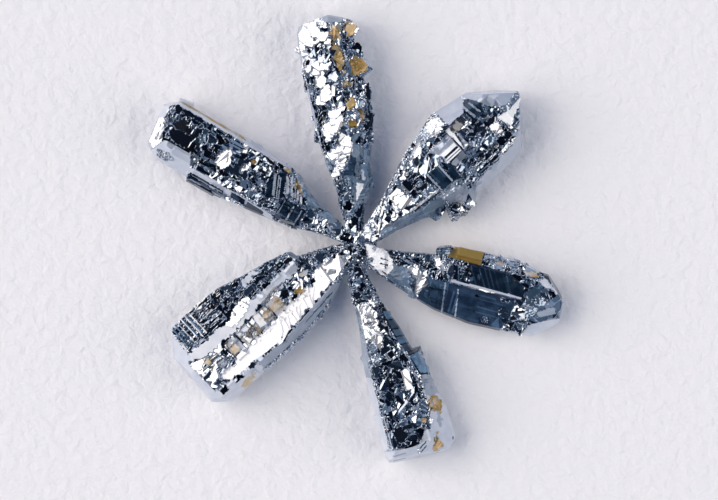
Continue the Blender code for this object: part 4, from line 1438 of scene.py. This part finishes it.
# The one at the lower left: a long white band, golden steps and a dark maze at its end.
SOUTH_WEST = [
    # The stem and the left flank.
    ragged(JUMBLE, (0.0, -0.8), (0.0, 0.8), (2.0, 1.2), (2.4, 0.0), (2.0, -0.8)),
    ragged(SLATE, (1.7, 0.7), (2.8, 1.7), (7.6, 1.9), (7.6, 0.8), (6.0, 0.8), (4.0, 0.65), (2.4, 0.5)),
    sharp(
        sized(SPECKLED, 0.15), (2.4, 0.95), (4.4, 1.2), (6.5, 1.22), (7.7, 1.15), (7.7, 1.6), (4.0, 1.7),
        (2.8, 1.4),
    ),
    sharp(BLUE_FACET, (2.4, 0.78), (4.4, 0.92), (4.6, 0.98), (2.6, 0.86)),
    ragged(PALE, (7.6, 0.8), (7.6, 1.9), (10.3, 1.9), (10.5, 0.5), (10.0, 0.3), (9.0, 0.55)),
    # The white band and its torn edge.
    ragged(WHITE, (0.8, 0.25), (2.5, 0.5), (2.7, -0.5), (2.0, -0.6), (1.0, -0.4)),
    ragged(
        replace(SHEET, leans={Lean.BRIGHT: 1.0}, size=2.2, longer=5.0, painted_sheen=1.0), (2.2, 0.45), (4.0, 0.55),
        (6.2, 0.76), (7.4, 0.7), (9.0, 0.5), (9.4, 0.1), (9.4, -0.2), (2.4, -0.25),
    ),
    sharp(JUMBLE, (3.8, 0.58), (3.8, 0.68), (6.2, 0.9), (6.2, 0.74)),
    spot(JUMBLE, 7.8, 0.65, 0.35, 0.14), spot(JUMBLE, 8.8, 0.65, 0.3, 0.14),
    spot(DARK, 9.7, 0.55, 0.25, 0.2),
    # The golden steps and the gaps in them.
    ragged(sized(SPECKLED, 0.24), (2.6, -0.2), (4.6, -0.2), (4.6, -1.15), (2.7, -1.2)),
    sharp(STEPS, (4.6, -0.26), (8.25, -0.22), (8.25, -1.1), (4.6, -1.1), level=-0.06),
    ragged(MAZE_ACROSS, (5.92, -0.2), (6.12, -0.2), (6.1, -0.7), (5.75, -1.12), (5.6, -1.12)),
    sharp(MAZE_ACROSS, (7.38, -0.2), (7.5, -0.2), (7.55, -1.1), (7.4, -1.1)),
    sharp(MAZE_ACROSS, (5.28, -0.2), (5.36, -0.2), (5.4, -1.1), (5.32, -1.1)),
    sharp(MAZE_ACROSS, (6.5, -0.5), (6.58, -0.5), (6.6, -1.1), (6.5, -1.1)),
    # The top of the head.
    sharp(PATCH, (7.5, 0.0), (8.2, 0.0), (8.2, -0.24), (7.55, -0.24)),
    ragged(GREY, (8.25, -0.15), (9.2, -0.1), (9.9, 0.3), (10.1, 0.2), (10.15, -1.5), (8.3, -1.15)),
    sharp(DARK, (8.4, 0.05), (8.65, 0.05), (8.6, -0.9), (8.35, -0.95)),
    ragged(DARK, (9.2, 0.3), (9.5, 0.4), (10.0, 0.1), (9.6, -0.1)),
    spot(replace(STEPS, gold=0.42), 8.9, -0.5, 0.28, 0.26, crisp=True), spot(JUMBLE, 2.9, -0.35, 0.35, 0.16),
    sharp(PATCH, (8.75, -0.78), (9.25, -0.78), (9.25, -1.1), (8.75, -1.05)),
    spot(sized(SPECKLED, 0.22), 9.7, -0.85, 0.35, 0.22),
    sharp(PATCH, (9.5, -0.1), (9.95, -0.02), (9.9, -0.35), (9.2, -0.72)),
    sharp(PATCH, (9.3, -1.25), (9.9, -0.95), (10.2, -1.2), (10.0, -1.55)),
    # The right edge, and the dark right side of the stem.
    ragged(
        PALE, (2.8, -1.75), (2.9, -1.2), (5.5, -1.22), (8.0, -1.15), (9.5, -1.4), (10.1, -1.7), (9.9, -2.0),
        (8.4, -1.9), (5.6, -1.68),
    ),
    ragged(
        PATCH, (5.7, -1.75), (6.2, -1.5), (7.2, -1.4), (7.4, -1.6), (6.8, -1.9), (6.4, -2.1), (5.8, -2.0),
    ),
    sharp(PATCH, (3.9, -1.27), (4.8, -1.1), (5.4, -1.22), (4.6, -1.4)),
    sharp(sized(BLACK_SLAB, 0.2), (0.85, -0.5), (1.9, -0.55), (1.95, -1.4), (0.9, -1.2)),
    ragged(BLUE, (2.0, -0.6), (2.7, -0.6), (2.8, -1.9), (2.0, -1.7)),
    ragged(PALE, (4.3, -2.5), (5.5, -2.4), (5.5, -2.8), (4.6, -2.8)),
    # The maze on the right flank, and the end face.
    sharp(BLACK_SLAB, (7.2, -1.95), (9.78, -2.05), (9.78, -3.9), (7.2, -3.6)),
    *comb(WHITE_LINE, (8.42, 9.72), (-3.8, -2.02), 6, 0.05),
    *comb(BLUE_FACET, (8.5, 9.6), (-3.8, -2.1), 4, 0.06),
    *grooves(PALE, (7.45, 8.1), (-3.1, -2.25), 3, 0.06),
    sharp(PALE, (10.1, 1.4), (11.0, 1.0), (11.0, -3.6), (9.78, -3.9), (9.78, -2.1), (10.15, -1.6)),
    # The gold and the hub.
    sharp(replace(GILT, painted_sheen=0.8, gold=0.8), (7.72, -0.3), (8.2, -0.3), (8.1, -1.05), (7.72, -1.05)),
    spot(replace(STEPS, gold=0.46), 5.6, -0.6, 0.3, 0.3, crisp=True),
    spot(replace(STEPS, gold=0.46), 6.8, -0.55, 0.3, 0.2, crisp=True),
    ragged(PAINTED_SHEEN_GILT, (8.1, 0.95), (9.0, 0.95), (9.0, 1.3), (8.1, 1.25)),
    ragged(PAINTED_SHEEN_GILT, (9.2, -0.8), (9.9, -0.8), (9.4, -1.1), (9.2, -1.15)),
    spot(GILT, 3.7, -0.35, 0.24, 0.16), spot(PAINTED_SHEEN_GILT, 2.9, -0.8, 0.2, 0.2),
    spot(HUB_MIX, 0.3, 0.0, 0.5, 0.7),
]

# The one at the upper left: a dark head between pale rims, and black slabs on its neck.
NORTH_WEST = [
    # The stem.
    ragged(BLUE, (0.0, 0.6), (1.8, 0.6), (1.8, -0.4), (1.5, -1.0), (0.0, -1.0)),
    ragged(SMOOTH_BLUE, (1.5, -0.4), (3.0, -0.45), (3.6, -0.8), (4.7, -1.7), (4.4, -2.2), (1.5, -1.4)),
    ragged(sized(SPECKLED, 0.22), (1.8, 0.7), (3.0, 0.9), (3.0, -0.4), (1.8, -0.4)),
    # The slabs on the neck and the ridges beside them.
    ragged(BLACK_SLAB, (3.05, 0.9), (4.4, 1.1), (4.5, -0.3), (3.05, -0.3)),
    sharp(BLACK_LINE, (3.1, 0.7), (4.3, 0.85), (4.4, 0.0), (4.2, -0.22), (3.1, -0.22)),
    *comb(SLATE, (3.35, 4.2), (-0.15, 0.7), 3, 0.06), *grooves(BLUE_FACET, (3.2, 4.3), (0.1, 0.6), 2, 0.06),
    sharp(SLANTED, (3.2, -0.45), (4.4, -0.28), (4.8, -1.3), (4.8, -1.9), (4.1, -1.3)),
    *comb(PALE, (3.95, 4.9), (-1.3, -0.4), 6, 0.1, slant=-0.45),
    sharp(BLACK_LINE, (4.4, -0.2), (5.2, 0.16), (5.5, -0.5), (5.2, -1.25), (4.85, -1.3)),
    *comb(SLATE, (5.0, 5.4), (-1.1, 0.0), 4, 0.05, slant=-0.45),
    # The left edge.
    ragged(GREY, (4.3, 0.9), (5.1, 0.8), (5.1, 0.15), (4.3, 0.0)),
    ragged(
        replace(SPECKLED, size=0.2, longer=3.0, heading=60.0), (5.1, 0.75), (8.2, 0.8), (8.2, 0.4),
        (5.2, 0.2),
    ),
    # The top of the head.
    ragged(JUMBLE, (5.5, -0.1), (7.6, 0.1), (8.4, -0.4), (8.0, -1.65), (5.5, -1.7)),
    sharp(DARK, (5.5, 0.0), (6.2, 0.3), (7.0, 0.35), (6.4, -0.15)),
    spot(DARK, 6.0, -0.25, 0.45, 0.25), spot(DARK, 5.9, -0.8, 0.3, 0.2),
    spot(sized(BLUE, 0.24), 9.15, -1.0, 0.45, 0.45),
    ragged(PATCH, (7.5, -0.6), (7.7, 0.0), (8.1, 0.0), (8.35, -0.5), (7.95, -1.05)),
    ragged(PATCH, (6.55, -0.6), (6.8, -0.2), (7.1, -0.3), (6.95, -0.78)),
    ragged(PATCH, (7.05, -1.3), (7.3, -1.2), (7.55, -1.65), (7.2, -1.65)),
    ragged(sized(BLUE, 0.24), (9.6, 0.1), (11.0, 0.1), (11.5, -0.8), (11.4, -1.3), (9.6, -1.2)),
    spot(replace(DARK, painted_shade=0.05, size=0.3), 10.8, -0.9, 0.55, 0.4),
    sharp(DARK, (8.1, 0.7), (9.1, 0.75), (9.4, 0.2), (8.4, 0.2)),
    # The left rim and the slabs below it.
    sharp(PALE, (4.3, 1.0), (9.15, 1.05), (9.15, 0.74), (6.0, 0.72), (4.5, 0.75)),
    ragged(SPECKLED, (5.9, 1.04), (7.1, 1.02), (7.1, 1.6), (5.9, 1.4)),
    sharp(BLACK_LINE, (7.1, 1.8), (9.05, 1.8), (9.05, 0.97), (7.15, 0.95), level=0.03),
    *grooves(SLATE, (7.2, 9.0), (1.1, 1.45), 3, 0.05),
    sharp(BLACK_LINE, (4.8, 1.3), (5.85, 1.3), (5.85, 0.8), (4.9, 0.85)),
    sharp(BLACK_LINE, (5.95, 1.06), (6.75, 1.06), (6.75, 0.8), (5.95, 0.8)),
    # The end faces and the right rim.
    sharp(PALE, (9.05, 1.8), (11.6, 1.6), (11.1, 0.5), (10.9, 0.2), (9.5, 0.2), (9.15, 0.8)),
    sharp(
        replace(BLUE, painted_sheen=0.3), (10.05, 0.85), (10.4, 1.1), (11.0, 1.05), (11.1, 0.75), (10.4, 0.65),
        level=-0.06,
    ),
    ragged(
        replace(PATCH, grain_share=0.4), (11.0, 0.55), (11.3, 1.0), (11.8, 0.5), (12.1, -0.3), (11.5, -0.8),
        (11.2, 0.0),
    ),
    sharp(PALE, (11.5, -0.8), (12.1, -0.3), (12.4, -2.2), (11.6, -2.2)),
    sharp(PALE, (5.2, -1.68), (11.6, -1.62), (12.0, -2.4), (5.0, -2.4)),
    sharp(EDGE_GILT, (7.4, -1.76), (11.3, -1.8), (11.3, -1.9), (7.6, -1.88)),
    # The gold and the hub.
    sharp(GILT, (3.6, -0.75), (4.2, -1.1), (4.3, -1.35), (3.9, -1.15)),
    spot(GILT, 6.6, -1.0, 0.25, 0.12), spot(GILT, 4.9, -1.55, 0.2, 0.1, crisp=True),
    spot(HUB_MIX, 0.4, 0.0, 0.6, 0.7),
]


def way(azimuth: float, off_zenith: float) -> Vector:
    """Finds the unit vector towards a place in the room.

    Args:
        azimuth: Its azimuth, in degrees.
        off_zenith: Its angle from straight up, in degrees.

    Returns:
        The vector.
    """
    azimuth, off_zenith = math.radians(azimuth), math.radians(off_zenith)
    level = math.sin(off_zenith)
    return Vector((level * math.cos(azimuth), level * math.sin(azimuth), math.cos(off_zenith)))


@dataclass(frozen=True)
class Paper:
    """The pale paper that the star lies on.

    Attributes:
        side: Its side, in metres.
        colour: Its colour.
        rough: Its roughness.
        fibres: The scale, detail and distortion of its fibres.
        relief: The strength of their relief, and its height in metres.
    """

    side: float = 1.2
    colour: tuple = (0.885, 0.864, 0.888)
    rough: float = 0.9
    fibres: tuple = (1700.0, 5.0, 0.3)
    relief: tuple = (1.0, 0.00014)

    def build(self) -> None:
        """Lays the paper on the table."""
        bpy.ops.mesh.primitive_plane_add(size=self.side, location=(0.0, 0.0, 0.0))
        paper = bpy.context.active_object
        paper.name = "paper"
        material = blank("paper")
        wires = Wiring(material.node_tree)
        wires.dress("Base Color", (*self.colour, 1.0))
        wires.dress("Roughness", self.rough)
        wires.relief(wires.noise(*self.fibres), *self.relief)
        paper.data.materials.append(material)


@dataclass(frozen=True)
class Softbox:
    """A soft light above the table, which the metal does not mirror.

    Attributes:
        name: Its name.
        azimuth: Where it is, in degrees.
        off_zenith: How far from straight up it is, in degrees.
        size: Its side, in metres.
        energy: Its power, in watts.
        colour: The colour of its light.
        distance: How far from the star it is, in metres.
    """

    name: str
    azimuth: float
    off_zenith: float
    size: float
    energy: float
    colour: tuple = (1.0, 0.95, 0.85)
    distance: float = 0.5

    def build(self) -> None:
        """Hangs the light and turns it to the star."""
        data = bpy.data.lights.new(self.name, "AREA")
        data.size = self.size
        data.energy = self.energy
        data.color = self.colour
        light = bpy.data.objects.new(self.name, data)
        bpy.context.scene.collection.objects.link(light)
        aim = way(self.azimuth, self.off_zenith)
        light.location = aim * self.distance
        light.rotation_euler = aim.to_track_quat("Z", "Y").to_euler()
        light.visible_glossy = False


@dataclass(frozen=True)
class Room:
    """What the metal mirrors: a dark ceiling, paler walls and the glow around a window.

    Attributes:
        walls: The colour at some angles from straight up, in degrees.
        window: The azimuth of the window.
        glows: For each glow its angle from straight up, where it is full and where it ends, and its colour.
    """

    walls: tuple = (
        (90.0, (0.50, 0.54, 0.64)),
        (78.0, (0.36, 0.41, 0.52)),
        (65.0, (0.25, 0.30, 0.38)),
        (50.0, (0.10, 0.148, 0.22)),
        (35.0, (0.032, 0.053, 0.086)),
        (20.0, (0.012, 0.019, 0.034)),
        (10.0, (0.006, 0.009, 0.018)),
        (0.0, (0.002, 0.003, 0.007)),
    )
    window: float = 150.0
    glows: tuple = (
        (62.0, 8.0, 38.0, (0.92, 0.90, 0.88)),
        (34.0, 18.0, 28.0, (1.1, 1.0, 0.9)),
        (34.0, 2.0, 24.0, (0.7, 0.62, 0.55)),
    )

    def build(self) -> None:
        """Wires the world."""
        world = bpy.data.worlds.new("room")
        bpy.context.scene.world = world
        world.use_nodes = True
        wires = Wiring(world.node_tree)
        place = wires.node("ShaderNodeTexCoord").outputs["Generated"]
        split = wires.node("ShaderNodeSeparateXYZ")
        wires.feed(split.inputs[0], place)
        ramp = wires.node("ShaderNodeValToRGB")
        wires.feed(ramp.inputs[0], split.outputs["Z"])
        elements = ramp.color_ramp.elements
        while len(elements) < len(self.walls):
            elements.new(0.5)
        for element, (off_zenith, colour) in zip(elements, self.walls):
            element.position = math.cos(math.radians(off_zenith))
            element.color = (*colour, 1.0)
        total = ramp.outputs[0]
        for off_zenith, full, end, colour in self.glows:
            toward = wires.node("ShaderNodeVectorMath", operation="DOT_PRODUCT")
            wires.feed(toward.inputs[0], place)
            wires.feed(toward.inputs[1], way(self.window, off_zenith))
            reach = (math.cos(math.radians(end)), math.cos(math.radians(full)))
            inside = wires.span(
                toward.outputs["Value"], reach, (0.0, 1.0), interpolation_type="SMOOTHSTEP"
            )
            added = wires.node("ShaderNodeVectorMath", operation="MULTIPLY_ADD")
            for socket, given in zip(added.inputs, (inside, colour, total)):
                wires.feed(socket, given)
            total = added.outputs[0]
        wires.feed(world.node_tree.nodes["Background"].inputs["Color"], total)


@dataclass(frozen=True)
class Camera:
    """The camera, straight above the star with a long lens.

    Attributes:
        sensor: The width of its sensor, in millimetres.
        lens: Its focal length, in millimetres.
        view: How wide it sees, in millimetres.
        focus: The height at which it sees that wide, in millimetres.
        aside: How far beside the hub it stands, in millimetres.
    """

    sensor: float = 36.0
    lens: float = 240.0
    view: float = 35.9
    focus: float = 1.8
    aside: tuple = (0.1, -0.2)

    def build(self) -> None:
        """Sets the camera up."""
        data = bpy.data.cameras.new("camera")
        data.sensor_width = self.sensor
        data.lens = self.lens
        camera = bpy.data.objects.new("camera", data)
        bpy.context.scene.collection.objects.link(camera)
        height = self.view * MM * self.lens / self.sensor + self.focus * MM
        across, along = ((hub + aside) * MM for hub, aside in zip(HUB, self.aside))
        camera.location = (across, along, height)
        bpy.context.scene.camera = camera
        bpy.context.scene.view_settings.view_transform = "Standard"


STAR = (
    Crystal("crystal_north", 97.0, gaps=(70.0, 123.5), seed=3, fields=NORTH),
    Crystal("crystal_north_east", 43.0, gaps=(14.0, 70.0), seed=5, fields=NORTH_EAST, ground=GREY),
    Crystal("crystal_east", -15.0, gaps=(-45.0, 14.0), seed=7, fields=EAST),
    Crystal("crystal_south", -75.0, gaps=(-105.5, -45.0), seed=11, fields=SOUTH),
    Crystal("crystal_south_west", 224.0, gaps=(187.0, 254.5), seed=13, fields=SOUTH_WEST, ground=MAZE),
    Crystal("crystal_north_west", 150.0, gaps=(123.5, 187.0), seed=17, fields=NORTH_WEST, ground=DARK),
)
LIGHTS = (
    Softbox("softbox_left", azimuth=186.0, off_zenith=52.0, size=0.45, energy=1.58),
    Softbox("softbox_right", azimuth=-8.0, off_zenith=54.0, size=0.45, energy=1.28),
    Softbox("softbox_above", azimuth=0.0, off_zenith=0.0, size=0.8, energy=0.32, colour=(0.0, 0.3, 1.0)),
)


def main() -> None:
    """Builds the star and its table."""
    finish = OsmiumMetal().material()
    for crystal in STAR:
        piece = crystal.build(finish)
        LOG.info("%s: %d faces", piece.name, len(piece.data.polygons))
    for fitting in (Paper(), *LIGHTS, Room(), Camera()):
        fitting.build()
        LOG.info("the %s is in place", type(fitting).__name__.lower())


if __name__ == "__main__":
    main()
